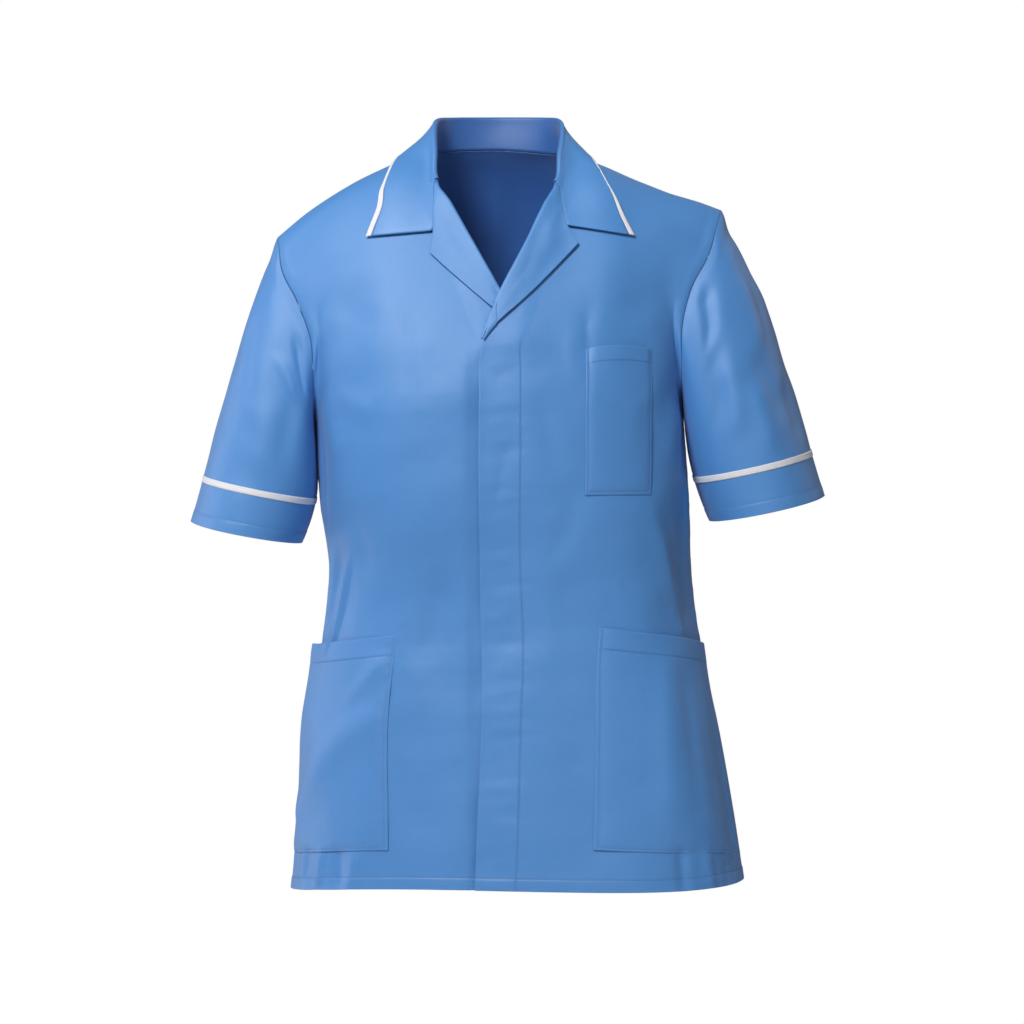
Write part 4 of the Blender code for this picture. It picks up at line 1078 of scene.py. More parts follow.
@dataclass
class Cloth:
    """A piece of cloth: a grid of points on its outer face, its normals and its wall.

    Attributes:
        name: The piece's name.
        grid: Points of the outer face, by line across and row along.
        facing: 1 or -1, whichever turns the faces out.
        wall: Thickness, one number or one for each point.
        closed: Whether the last line joins the first.
        lines: Closeness to a stitch line or seam, and on the lapels to a painted shadow along the top
            edge, from 0 to 1, at each point.
        rims: Closeness to a free rim, from 0 to 1, at each point.
        within: Painted shade of the garment's inside: how far a point's colour is darkened to the
            finish's inner colour, from 0 to 1; the inner wall takes it in full.
        bulge: How far the rims' middles stand out.
    """

    name: str
    grid: Array
    facing: int
    wall: Any = 0.8
    closed: bool = False
    lines: Any = 0.0
    rims: Any = 0.0
    within: Any = 0.0
    bulge: float = 0.25
    normals: Array = field(init=False)

    def __post_init__(self) -> None:
        """Works out the normals."""
        self.normals = grid_normals(self.grid, self.facing, self.closed)

    def raise_by(self, height: Array) -> "Cloth":
        """Moves the outer face along its normals, and returns the piece.

        Args:
            height: Heights.

        Returns:
            The piece.
        """
        self.grid = self.grid + self.normals * height[..., None]
        self.normals = grid_normals(self.grid, self.facing, self.closed)
        return self

    def around(self) -> Array:
        """The grid, with its first line once more at the end where the piece is closed."""
        return np.concatenate([self.grid, self.grid[:1]]) if self.closed else self.grid

    def away(self) -> Array:
        """Directions at the rims that point away from the cloth, along its surface.

        Returns:
            Directions.
        """
        out = np.zeros_like(self.grid)
        out[:, 0] += unit(self.grid[:, 0] - self.grid[:, 1])
        out[:, -1] += unit(self.grid[:, -1] - self.grid[:, -2])
        if not self.closed:
            out[0] += unit(self.grid[0] - self.grid[1])
            out[-1] += unit(self.grid[-1] - self.grid[-2])
        return unit(out)

    def spans(self) -> tuple[Array, Array]:
        """Mean distances of the lines and of the rows from the first ones, in millimetres."""
        across, along = gaps(self.around(), 0).mean(axis=1), gaps(self.grid, 1).mean(axis=0)
        return np.concatenate([[0], np.cumsum(across)]), np.concatenate([[0], np.cumsum(along)])

    def inset(self, rim: Rim, distance: float, start: float = 0.0, end: float = 1.0) -> Array:
        """Points and normals at a distance from a rim, along a part of it.

        Args:
            rim: The rim.
            distance: The distance from it, in millimetres.
            start: Share of the rim's length at which the line starts.
            end: Share at which it ends.

        Returns:
            Rows of a point and a normal, six numbers each.
        """
        both = np.concatenate([self.grid, self.normals], axis=-1)
        if rim in (Rim.FIRST_LINE, Rim.LAST_LINE):
            both = np.swapaxes(both, 0, 1)
        if rim in (Rim.LAST_LINE, Rim.LAST_ROW):
            both = both[:, ::-1]
        first, last = round(start * (len(both) - 1)), round(end * (len(both) - 1))
        both = both[first : last + 1]
        steps = np.cumsum(gaps(both[..., :3], 1), axis=1)
        gone = np.concatenate([np.zeros((len(both), 1)), steps], axis=1)
        return np.array(
            [[np.interp(distance, far, row[:, k]) for k in range(6)] for far, row in zip(gone, both)]
        )

    def between(self, start: Pair, end: Pair, count: int = 24) -> Array:
        """Points and normals on a straight line between two places, given as shares.

        Args:
            start, end: The two places.
            count: How many points.

        Returns:
            Rows of six numbers.
        """
        at = np.linspace(start, end, count)
        both = np.concatenate([self.grid, self.normals], axis=-1)
        line = np.clip(at[:, 0], 0, 1) * (both.shape[0] - 1)
        row = np.clip(at[:, 1], 0, 1) * (both.shape[1] - 1)
        i = np.minimum(line.astype(int), both.shape[0] - 2)
        j = np.minimum(row.astype(int), both.shape[1] - 2)
        s, t = (line - i)[:, None], (row - j)[:, None]
        low = both[i, j] * (1 - s) + both[i + 1, j] * s
        high = both[i, j + 1] * (1 - s) + both[i + 1, j + 1] * s
        return low * (1 - t) + high * t

    def quads(self) -> tuple[Array, Array]:
        """Lays out the faces of the outer wall.

        Returns:
            Each face's corners, by their numbers in the grid, and their places on the cloth.
        """
        across, along = self.grid.shape[:2]
        spans = self.spans()
        last = across if self.closed else across - 1
        lines, rows = np.meshgrid(np.arange(last), np.arange(along - 1), indexing="ij")
        corners = [(0, 0), (1, 0), (1, 1), (0, 1)][:: self.facing]
        faces = [((lines + a) % across) * along + rows + b for a, b in corners]
        places = [np.stack([spans[0][lines + a], spans[1][rows + b]], axis=-1) for a, b in corners]
        return np.stack(faces, axis=-1).reshape(-1, 4), np.stack(places, axis=-2).reshape(-1, 4, 2)

    def shell(self) -> tuple[Array, Array]:
        """Lays out the faces of both walls and of the rounded rim between them.

        Returns:
            Each face's corners among the outer, inner and middle points, and their places.
        """
        outer, places = self.quads()
        count = self.grid.shape[0] * self.grid.shape[1]
        ends = np.stack([outer, np.roll(outer, -1, axis=1)], axis=-1).reshape(-1, 2)
        end_places = np.stack([places, np.roll(places, -1, axis=1)], axis=-2).reshape(-1, 2, 2)
        codes, back = ends[:, 0] * count + ends[:, 1], ends[:, 1] * count + ends[:, 0]
        free = ~np.isin(codes, back)
        first, second = ends[free].T
        place_first, place_second = end_places[free][:, 0], end_places[free][:, 1]
        near = np.stack([second, first, first + 2 * count, second + 2 * count], axis=-1)
        far = np.stack([second + 2 * count, first + 2 * count, first + count, second + count], axis=-1)
        rim_places = np.stack([place_second, place_first, place_first, place_second], axis=1)
        faces = np.concatenate([outer, outer[:, ::-1] + count, near, far])
        return faces, np.concatenate([places, places[:, ::-1], rim_places, rim_places])

    def mark(self, mesh: bpy.types.Mesh, used: Array) -> None:
        """Tells the material how close each point is to stitch lines and rims, and how much painted
        shade of the garment's inside it takes.

        Args:
            mesh: The mesh.
            used: Which of the outer, inner and middle points it has.
        """
        # The inner wall takes the painted shade of the garment's inside in full.
        marked = (("line", self.lines, 0, 0), ("rim", self.rims, 1, 0), ("within", self.within, 0, 1))
        for name, values, kept, added in marked:
            spread = np.broadcast_to(values, self.grid.shape[:2]).reshape(-1)
            whole = np.concatenate([spread, spread * kept + added, spread])[used]
            mesh.attributes.new(name, "FLOAT", "POINT").data.foreach_set("value", whole)

    def mesh(self, finish: Material) -> bpy.types.Mesh:
        """Makes the shell of two walls and a rounded rim, with its places and its marks.

        Args:
            finish: Its material.

        Returns:
            The mesh.
        """
        wall = np.broadcast_to(self.wall, self.grid.shape[:2])
        inner = self.grid - self.normals * wall[..., None]
        middle = (self.grid + inner) / 2 + self.away() * self.bulge
        faces, places = self.shell()
        used, faces = np.unique(faces, return_inverse=True)
        points = np.concatenate([self.grid, inner, middle]).reshape(-1, 3)[used]
        mesh = bpy.data.meshes.new(self.name)
        mesh.from_pydata((points * MM).tolist(), [], faces.reshape(-1, 4).tolist())
        layer = mesh.uv_layers.new(name="cloth")
        layer.data.foreach_set("uv", (places * MM).reshape(-1))
        self.mark(mesh, used)
        mesh.polygons.foreach_set("use_smooth", np.ones(len(mesh.polygons), bool))
        mesh.materials.append(finish)
        return mesh

    def build(
        self,
        finish: Material,
        node_name: str,
        on: tuple[str, ...] = (),
        trims: tuple[bpy.types.Object, ...] = (),
    ) -> bpy.types.Object:
        """Makes the piece, attaches it to the root body and hides the solid that it stands for.

        Args:
            finish: Its material.
            node_name: The solid that it stands for.
            on: What the cloth hangs from or lies on, or nothing for a trim; not used.
            trims: Tapes or piping that are part of it; not used.

        Returns:
            The piece.
        """
        piece = add_object(self.name, self.mesh(finish))
        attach(piece, "root")
        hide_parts(node_name)
        log.info("%s: %d faces", self.name, len(piece.data.polygons))
        return piece


@dataclass(frozen=True)
class StitchMaker:
    """Sews rows of stitches along lines on the cloth."""

    pitch: float = 3.0
    length: float = 2.5
    width: float = 0.5
    lift: float = 0.08
    seed: int = 7

    def tree(self) -> Tree:
        """Builds the node tree that lays stitches along a line, with named inputs for their sizes.

        Returns:
            The node tree.
        """
        tree = bpy.data.node_groups.new("row_of_stitches", "GeometryNodeTree")
        face = tree.interface
        face.new_socket("Line", in_out="INPUT", socket_type="NodeSocketGeometry")
        for name in ("Pitch", "Length", "Width"):
            face.new_socket(name, in_out="INPUT", socket_type="NodeSocketFloat")
        face.new_socket("Thread", in_out="INPUT", socket_type="NodeSocketMaterial")
        face.new_socket("Stitches", in_out="OUTPUT", socket_type="NodeSocketGeometry")
        given = tree.nodes.new("NodeGroupInput").outputs
        line, pitch, long, wide, thread = [Value(tree, given[place]) for place in range(5)]
        curve = node(tree, "GeometryNodeMeshToCurve", {}, line)
        points = node(tree, "GeometryNodeCurveToPoints", {"mode": "LENGTH"}, curve, Length=pitch)
        tangent = points.output("Tangent")
        out = node(tree, "GeometryNodeInputNamedAttribute", {"data_type": "FLOAT_VECTOR"}, "out")
        axes = {"primary_axis": "Z", "secondary_axis": "X"}
        turn = node(tree, "FunctionNodeAxesToRotation", axes, out, tangent)
        ball = node(tree, "GeometryNodeMeshUVSphere", {}, 6, 4, 0.5)
        size = node(tree, "ShaderNodeCombineXYZ", {}, long, wide, wide * 0.6)
        shape = node(tree, "GeometryNodeTransform", {}, ball, Scale=size)
        smooth = node(tree, "GeometryNodeSetShadeSmooth", {}, shape)
        kind = {"data_type": "FLOAT"}
        vary = node(tree, "FunctionNodeRandomValue", kind, Min=0.88, Max=1.1, Seed=self.seed)
        settings = {"Instance": smooth, "Rotation": turn, "Scale": vary}
        laid = node(tree, "GeometryNodeInstanceOnPoints", {}, points, **settings)
        solid = node(tree, "GeometryNodeRealizeInstances", {}, laid)
        dressed = node(tree, "GeometryNodeSetMaterial", {}, solid, Material=thread)
        end = tree.nodes.new("NodeGroupOutput")
        tree.links.new(dressed.socket, end.inputs[0])
        return tree

    def guide(self, name: str, rows: list[Array]) -> bpy.types.Object:
        """Makes the lines that stitches follow, with their directions out of the cloth.

        Args:
            name: The lines' name.
            rows: Each row's points and normals.

        Returns:
            The lines.
        """
        points, edges, normals, count = [], [], [], 0
        for row in rows:
            points.append(row[:, :3] + row[:, 3:] * self.lift)
            normals.append(row[:, 3:])
            steps = np.arange(count, count + len(row) - 1)
            edges.append(np.stack([steps, steps + 1], axis=-1))
            count += len(row)
        mesh = bpy.data.meshes.new(name)
        mesh.from_pydata((np.concatenate(points) * MM).tolist(), np.concatenate(edges).tolist(), [])
        out = mesh.attributes.new("out", "FLOAT_VECTOR", "POINT")
        out.data.foreach_set("vector", np.concatenate(normals).reshape(-1))
        return add_object(name, mesh)

    def sew(self, name: str, rows: list[Array], tree: Tree, thread: Material) -> None:
        """Sews stitches along rows of points and normals, as one piece.

        Args:
            name: The piece's name.
            rows: Each row's points and normals.
            tree: The node tree that lays stitches.
            thread: The thread's material.
        """
        guide = self.guide(name + "_line", rows)
        modifier = guide.modifiers.new("stitches", "NODES")
        modifier.node_group = tree
        sizes = {"Pitch": self.pitch, "Length": self.length, "Width": self.width}
        for item in tree.interface.items_tree:
            if item.name in sizes and item.in_out == "INPUT":
                modifier[item.identifier] = sizes[item.name] * MM
            elif item.name == "Thread":
                modifier[item.identifier] = thread
        evaluated = guide.evaluated_get(bpy.context.evaluated_depsgraph_get())
        made = bpy.data.meshes.new_from_object(evaluated)
        made.name = name
        guide.modifiers.clear()
        bpy.data.objects.remove(guide, do_unlink=True)
        piece = add_object(name, made)
        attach(piece, "root")
        log.info("%s: %d faces", name, len(made.polygons))


@dataclass
class Torso:
    """The back and the two fronts, with the fly, the hem and their stitches."""

    fly: float = 40.0
    hem: float = BODY.hem_turn
    step: float = 3.0
    calm_rounds: int = 70
    fly_end: float = 0.70
    pieces: dict[str, Cloth] = field(default_factory=dict)

    def rises(self, step: float) -> Array:
        """Rows from the hem to the top, close beside the hem's stitches.

        Args:
            step: Distance between even rows.

        Returns:
            Rises.
        """
        skirt, bodice = BODY.skirt_length, BODY.bodice_length
        low = marks(skirt, step, (0, self.hem)) / skirt - 1
        high = marks(bodice, step, (0, bodice)) / bodice
        return np.concatenate([low[:-1], high]) * (1 - BODY.seam_gap / 2 / BODY.column_length)

    def wall(self, rise: Array) -> Array:
        """Thickness of the cloth, doubled at the hem."""
        return 0.75 + 0.7 * (1 - ramp(11, 14, (rise + 1) * BODY.skirt_length))

    def closeness(self, share: Array, rise: Array, free: Array) -> tuple[Array, Array]:
        """Closeness to the hem's stitches and seams, and to the free rims.

        Args:
            share, rise: Places.
            free: Distances from the free edge.

        Returns:
            Both, from 0 to 1.
        """
        hem, side = (rise + 1) * BODY.skirt_length, (1 - np.abs(share)) * BODY.quarter_girth
        top = (1 - rise) * BODY.column_length
        stitched = 0.85 * bump(hem, self.hem, 0.8)
        seams = bump(side, 0, 0.9) + bump(top, 0, 0.9)
        rims = bump(hem, 0, 1.6) + bump(free, 0, 1.6)
        return np.clip(stitched + seams, 0, 1), np.clip(rims, 0, 1)

    def fly_relief(self, free: Array, level: Array) -> Array:
        """Heights of the left front's double edge, its stitch line and its puckers.

        Args:
            free: Distances from the edge.
            level: Levels.

        Returns:
            The heights.
        """
        height = 0.4 * (1 - ramp(38.6, 41, free)) - 0.24 * bump(free, self.fly, 0.9)
        height += 0.45 * ripple(free * 0.35, level, 24, 1.7) * bump(free, 22, 15)
        height += 0.2 * ripple(free * 0.2, level, 11, 0.2) * bump(free, 40, 7)
        return height + 0.5 * bump(free, 0, 3.5)

    def front(self, side: Side) -> Cloth:
        """Makes a front, with its fly folded back at the edge.

        Args:
            side: The wearer's side.

        Returns:
            The front's cloth.
        """
        girth = BODY.quarter_girth
        rise = self.rises(self.step)[None, :]
        edge = BODY.edge_share(rise[0], side)[None, :]
        seam = side * (1 - BODY.seam_gap / 2 / girth)
        at = marks(girth, self.step, (0, self.fly, girth))[:, None]
        fly_share = edge + side * 0.75 * self.fly / girth
        if side == Side.LEFT:
            stitched = BODY.line_share(rise[0], BODY.fly)[None, :]
            fly_share = stitched + (fly_share - stitched) * ramp(0.2, 0.42, rise)
        inside = edge + (fly_share - edge) * at / self.fly
        outside = fly_share + (seam - fly_share) * (at - self.fly) / (girth - self.fly)
        share = np.where(at < self.fly, inside, outside)
        rise, free = np.broadcast_to(rise, share.shape), np.broadcast_to(at, share.shape)
        height = BODY.sewing(share, rise, Face.FRONT)
        below = 1 - ramp(0.30, 0.42, rise)
        if side == Side.LEFT:
            height += self.fly_relief(free, BODY.torso(share, rise, Face.FRONT)[..., 2]) * below
        beside = np.minimum(free - 4, (1 - np.abs(share)) * girth - 20)
        calm = ramp(0, 24, beside) * ramp(0.28, 0.5, rise)
        calm = (calm * (1 - ramp(0.95, 0.995, rise)) * 0.5)[1:-1, :, None]
        grid = calmed(BODY.front(share, rise, side, height), self.calm_rounds, calm)
        cloth = Cloth(f"front_{side.word}_cloth", grid, int(side), wall=self.wall(rise))
        cloth.lines, cloth.rims = self.closeness(share, rise, free)
        if side == Side.LEFT:
            cloth.lines = np.clip(cloth.lines + 0.3 * bump(free, self.fly, 0.8) * below, 0, 1)
        return cloth

    def back(self) -> Cloth:
        """The back in one piece.

        Returns:
            The back's cloth.
        """
        girth = BODY.quarter_girth
        at = marks(2 * girth, self.step * 1.15, (0, 2 * girth)) / girth - 1
        share = at[:, None] * (1 - BODY.seam_gap / 2 / girth)
        share, rise = np.broadcast_arrays(share, self.rises(self.step * 1.1)[None, :])
        grid = BODY.back(share, rise, BODY.sewing(share, rise, Face.BACK))
        cloth = Cloth("back_cloth", grid, -1, wall=self.wall(rise))
        cloth.lines, cloth.rims = self.closeness(share, rise, np.full(share.shape, 99.0))
        return cloth

    def build(self, blue: Material) -> list[Array]:
        """Builds the three pieces and returns their rows of stitches.

        Args:
            blue: The cloth's material.

        Returns:
            The rows.
        """
        self.pieces = {"back": self.back()}
        for side in SIDES:
            self.pieces[f"front_{side.word}"] = self.front(side)
        rows = []
        for name, cloth in self.pieces.items():
            cloth.build(blue, name, ("wearer",))
            rows.append(cloth.inset(Rim.FIRST_ROW, self.hem))
            if name != "back":
                rows.append(cloth.inset(Rim.FIRST_LINE, self.fly, 0.03, self.fly_end))
        return rows

    def tree(self, name: str) -> BVHTree:
        """Search tree of one piece's outer face."""
        cloth = self.pieces[name]
        return surface_tree(cloth.grid, cloth.facing)


@dataclass
class Lapels:
    """The two turned-out lapels."""

    edges: tuple[Rows, Rows] = (
        ((0.0, -68.5, -109.0), (0.5, -36.5, -137.5), (1.0, 16.0, -181.0)),
        (
            (0.0, 78.6, -99.3), (0.4, 40.5, -138.5), (0.8, 3.6, -174.0), (0.9, -6.4, -184.6),
            (1.0, -14.6, -196.4),
        ),
    )
    notches: Rows = ((-65.5, -86.0), (67.0, -81.0))
    breaks: Pair = (-178.0, -195.2)
    notch_share: float = 0.66
    lifts: Pair = (3.2, 2.2)
    wall: float = 1.0
    roll_steps: int = 9
    roll_in: float = 1.1
    roll_under: float = 0.7
    top: float = 0.982
    tuck: float = 4.0
    width: float = 60.0
    length: float = 150.0
    count: tuple[int, int] = (44, 90)

    def outline(self, side: Side) -> tuple[Array, Array, Array, tuple[Array, Array]]:
        """Lays a lapel's lines out as seen from ahead.

        Args:
            side: The wearer's side.

        Returns:
            Shares across and along, x and z of the grid, and the shares and rises of its roll.
        """
        across = marks(self.width, self.width / self.count[0], (self.width,)) / self.width
        along = marks(self.length, self.length / self.count[1], (0, self.length)) / self.length
        level = np.array(self.breaks[side.place])
        _, low = BODY.locate(spline(BODY.edge_table(side), level)[..., 0], level)
        rise = self.top + (low - self.top) * along
        roll_share = BODY.edge_share(rise, side)
        roll = BODY.torso(roll_share, rise, Face.FRONT)[:, ::2]
        edge, notch = spline(self.edges[side.place], along), self.notches[side.place]
        stops = (0, self.notch_share, 1)
        gorge = [np.interp(across, stops, (roll[0, k], notch[k], edge[0, k])) for k in (0, 1)]
        gorge = np.stack(gorge, axis=-1)
        part = across[None, :, None]
        flat = roll[:, None] * (1 - part) + edge[:, None] * part
        flat = flat + (gorge - flat[0])[None] * ((1 - along) ** 3)[:, None, None]
        return across, along, flat, (roll_share[:, None], rise[:, None])

    def covered(self, across: Array) -> Array:
        """How far each place of the top edge lies under the collar, from 0 to 1."""
        return 1 - ramp(self.notch_share - 0.2, self.notch_share - 0.02, across)

    def cloth(self, side: Side, tree: BVHTree) -> Cloth:
        """Makes a lapel, from inside its roll line to its outer edge, with its top under the collar.

        Args:
            side: The wearer's side.
            tree: Search tree of the front below it.

        Returns:
            The lapel's cloth.
        """
        across, along, flat, start = self.outline(side)
        covered = self.covered(across)
        deeper = 1 + 0.9 * (1 - ramp(0.0, 0.2, across))
        up = unit(flat[0] - flat[4]) * (0.1 + covered * self.tuck * deeper)[:, None]
        flat = np.concatenate([[flat[0] + up, flat[0] + up / 2], flat])
        start = tuple(np.concatenate([part[:1], part[:1], part]) for part in start)
        along = np.concatenate([[0.0, 0.0], along])
        share, rise = BODY.locate(flat[..., 0], flat[..., 1], start)
        base = BODY.front(share, rise, side)
        beyond = ramp(0.02, 0.4, across) * (1 - ramp(0.6, 0.8, along))[:, None]
        beyond = beyond[..., None]
        base = base + (laid_on(tree, flat[..., 0], flat[..., 1], base) - base) * beyond
        smooth = BODY.normal(share, rise, Face.FRONT)
        out = unit(grid_normals(base, int(side)) * beyond + smooth * (1 - beyond))
        out[1:-1] = np.swapaxes(calmed(np.swapaxes(out[1:-1], 0, 1), 40), 0, 1)
        out = unit(out)
        lift = np.interp(along, (0, 1), self.lifts)[:, None] + 0 * across
        lift[0] -= 1.3 * covered
        lift[1] -= 0.9 * covered
        soft = 0.22 * ripple(across[None, :] * self.width, along[:, None] * self.length, 42, 0.5 + side)
        crown = 0.5 * np.sin(math.pi * np.clip(across, 0, 1)) ** 2
        lying = base + out * (lift + soft * np.sin(math.pi * across) + crown)[..., None]
        rolled = self.roll(base[:, 0], out[:, 0], lift[:, :1], side)
        grid = np.concatenate([rolled, lying[:, 1:]], axis=1)
        cloth = Cloth(f"lapel_{side.word}_cloth", grid, int(side), wall=self.wall)
        cloth.grid = cloth.grid + cloth.normals * self.wall / 2
        rows, columns = np.meshgrid(along, np.linspace(0, 1, grid.shape[1]), indexing="ij")
        far, down = (1 - columns) * self.width, rows * self.length
        # Painted shadow: a darker line along the lapel's top edge, at the gorge and the notch.
        cloth.lines = 0.7 * bump(down, 0, 1.2)
        cloth.rims = np.clip(bump(far, 0, 1.6) + bump(down, 0, 1.6), 0, 1)
        return cloth

    def roll(self, line: Array, out: Array, lift: Array, side: Side) -> Array:
        """Bends the cloth round the roll line and back under the lapel.

        Args:
            line: Points of the roll line on the front.
            out: Directions out of the front there.
            lift: Heights of the lapel there.
            side: The wearer's side.

        Returns:
            Points of the bend, by line and by step.
        """
        away = -side * unit(np.cross(np.gradient(line, axis=0), out))
        radius = (lift + self.roll_under) / 2
        centre = line + out * (lift - self.roll_under) / 2 - away * self.roll_in
        bends = np.radians(np.linspace(0, 180, self.roll_steps))
        bent = [centre - radius * (away * np.sin(bend) + out * np.cos(bend)) for bend in bends]
        return np.stack(bent, axis=1)

    def build(self, blue: Material, torso: Torso) -> None:
        """Builds both lapels.

        Args:
            blue: The cloth's material.
            torso: The fronts that carry them.
        """
        for side in SIDES:
            name = side.word
            cloth = self.cloth(side, torso.tree(f"front_{name}"))
            cloth.build(blue, f"lapel_{name}", (f"front_{name}_cloth",))


@dataclass
class Collar:
    """The convertible collar, worn open, with its stand, its fold, its fall and its piping."""

    fold: Rows = (
        (0, -62.5, -46, -36.5), (0.07, -64.8, -26, -6), (0.14, -66, -8, 13), (0.21, -66, 8, 25),
        (0.28, -63.5, 28, 32), (0.38, -47, 54, 35), (0.5, -0.5, 68, 36), (0.62, 46, 54, 35),
        (0.72, 61, 28, 31.5), (0.79, 63.5, 8, 24), (0.86, 63, -8, 11), (0.93, 60, -26, -8),
        (1, 56, -46, -39),
    )
    style: Rows = (
        (0, -0.534, 0.587), (0.05, -0.497, 0.675), (0.1, -0.495, 0.745), (0.14, -0.48, 0.8),
        (0.19, -0.463, 0.88), (0.25, -0.44, 1), (0.3, -0.41, 1.05), (0.35, -0.36, 1.09),
        (0.4, -0.285, 1.11), (0.45, -0.15, 1.105), (0.5, 0, 1.1), (0.55, 0.15, 1.105),
        (0.6, 0.27, 1.11), (0.65, 0.33, 1.09), (0.7, 0.365, 1.05), (0.75, 0.385, 1),
        (0.81, 0.412, 0.88), (0.86, 0.45, 0.77), (0.9, 0.48, 0.71), (0.95, 0.513, 0.645),
        (1, 0.56, 0.587),
    )
    notches: Rows = ((-65.2, -86.5), (66.7, -81.0))
    asides: Pair = (0.2, 0.0)
    start: float = 0.242
    lift: float = 3.4
    radius: float = 2.3
    end_out: Point = (0.6, -0.62, 0.5)
    wall: float = 1.3
    piping: float = 5.5
    girth: float = 330.0
    depth: float = 75.0
    lines: int = 73
    stand_rows: int = 7
    fold_steps: int = 9
    fall_rows: int = 41
    cloth_rows: int = 30
    tape_rows: int = 9
    calm_from: int = 34

    def end_line(self, part: Array, side: Side, tip: Array, tree: BVHTree) -> Array:
        """The collar's end over the body: down the seam to the lapel, and out to its point.

        Args:
            part: Shares of the way.
            side: The wearer's side.
            tip: The point.
            tree: The front's tree.

        Returns:
            Points.
        """
        notch = self.notches[side.place]
        start = BODY.top_line(np.array(side * self.start), Face.FRONT)
        stops = (0, 0.42, 1)
        x = np.interp(part, stops, (start[0] + side * self.asides[side.place], notch[0], tip[0]))
        z = np.interp(part, stops, (start[2], notch[1], tip[2]))
        share, rise = BODY.locate(x, z)
        out = BODY.normal(share, rise, Face.FRONT)
        return laid_on(tree, x, z, BODY.front(share, rise, side)) + unit(calmed(out, 60)) * self.lift

    def middle(self, trees: list[BVHTree]) -> tuple[Array, Array]:
        """Middle of the collar's cloth: its stand and fold, and its fall in close rows.

        Args:
            trees: Trees of the back and the fronts.

        Returns:
            Rows of the stand and fold, and of the fall.
        """
        way = np.linspace(0, 1, self.lines)
        fold, style = spline(self.fold, way), spline(self.style, way)
        seam = BODY.neck_seam(way, self.start)
        ends = np.minimum(way, 1 - way)
        near_end = 1 - ramp(0.0, 0.09, ends)[:, None]
        tangent = unit(np.gradient(fold, axis=0))
        tangent = unit(tangent + (unit(np.gradient(seam, axis=0)) - tangent) * near_end)
        level_out = unit(np.stack([-tangent[:, 1], tangent[:, 0], 0 * way], axis=-1))
        sides = np.where(way < 0.5, -1, 1)[:, None]
        end_out = unit(np.array(self.end_out) * np.concatenate([sides, sides**2, sides**2], axis=1))
        out = unit(level_out + (end_out - level_out) * near_end)
        up = unit(np.cross(tangent, out))
        at_end = seam + end_out * (self.radius - 0.7) + up * (self.radius + 2.0)
        fold = fold + (at_end - fold) * near_end**2
        centre = fold - up * self.radius
        bends = np.radians(np.linspace(0, 180, self.fold_steps))
        arc = [centre + self.radius * (up * np.sin(bend) - out * np.cos(bend)) for bend in bends]
        arc = np.stack(arc, axis=1)
        foot = seam + up * 0.8 - end_out * 0.7 * near_end
        height = np.linalg.norm(arc[:, 0] - foot, axis=-1, keepdims=True)
        stand = bezier(
            foot[:, None],
            (foot + up * height / 3)[:, None],
            (arc[:, 0] - up * height / 3)[:, None],
            arc[:, :1],
            np.tile(np.linspace(0, 1, self.stand_rows)[:-1], (len(way), 1)),
        )
        edge = BODY.over(style[:, 0], style[:, 1], self.lift)
        tips = BODY.over(style[[0, -1], 0], style[[0, -1], 1], 0.0)
        behind = ramp(0.2, 0.3, ends)[1:-1, None]
        edge = keep_off(calmed(edge, 30, behind), self.lift, trees)
        top = arc[:, -1]
        reach = np.linalg.norm(edge - top, axis=-1, keepdims=True)
        part = np.linspace(0, 1, self.fall_rows)
        way_down = unit(edge - top) * 0.34 - up * 0.1
        fall = bezier(
            top[:, None],
            (top + way_down * reach)[:, None],
            (edge + (top - edge) * 0.3)[:, None],
            edge[:, None],
            np.tile(part, (len(way), 1)),
        )
        for side, end, tree in ((Side.RIGHT, 0, trees[1]), (Side.LEFT, -1, trees[2])):
            line = self.end_line(part, side, tips[end], tree)
            line = line + (top[end] - line[0]) * (1 - ramp(0, 0.08, part))[:, None]
            ease = np.clip(1 - np.abs(way - way[end]) / 0.16, 0, 1) ** 2
            fall = fall + (line - fall[end])[None] * ease[:, None, None]
        for _ in range(6):
            inner = fall[1:-1, 1:-1]
            mean = (fall[2:, 1:-1] + fall[:-2, 1:-1] + fall[1:-1, 2:] + fall[1:-1, :-2]) / 4
            fall[1:-1, 1:-1] = keep_off(inner + (mean - inner) / 2, self.lift, trees)
        return np.concatenate([stand, arc[:, :-1]], axis=1), fall

    def cloth(self, around: Array, inside: Array, outer: Array) -> Cloth:
        """Makes the collar's cloth from the rows of its stand, its fold and its fall.

        Args:
            around: Shares of the way round of its lines.
            inside: Rows of the stand and the fold.
            outer: Rows of the fall.

        Returns:
            The collar's cloth.
        """
        whole = np.concatenate([inside, outer], axis=1)
        grid = refine(whole, around, np.linspace(0, 1, 2 * whole.shape[1] - 1))
        first = self.calm_from
        for _ in range(14):
            beside = grid[2:, first:-1] + grid[:-2, first:-1]
            mean = (beside + grid[1:-1, first + 1 :] + grid[1:-1, first - 1 : -2]) / 4
            grid[1:-1, first:-1] += (mean - grid[1:-1, first:-1]) * 0.6
        cloth = Cloth("collar_cloth", grid, 1, wall=self.wall)
        count = grid.shape[1]
        rows = np.linspace(0, 1, count)[None, :]
        soft = 0.25 * ripple(around[:, None] * self.girth, rows * self.depth, 47, 2.1)
        cloth.raise_by(self.wall / 2 + soft * np.sin(math.pi * rows) ** 2)
        ends = np.minimum(around, 1 - around)[:, None] * self.girth + 0 * rows
        cloth.rims = bump(ends, 0, 1.6)
        cloth.lines = bump((1 - rows) * self.depth, 0, 0.9) + 0 * ends
        # Painted shade: the stand's inner face, seen through the neck, takes most of the darker inner
        # colour.
        cloth.within = 0.85 * (1 - ramp(14, 22, np.arange(count)))[None, :] + 0 * ends
        return cloth

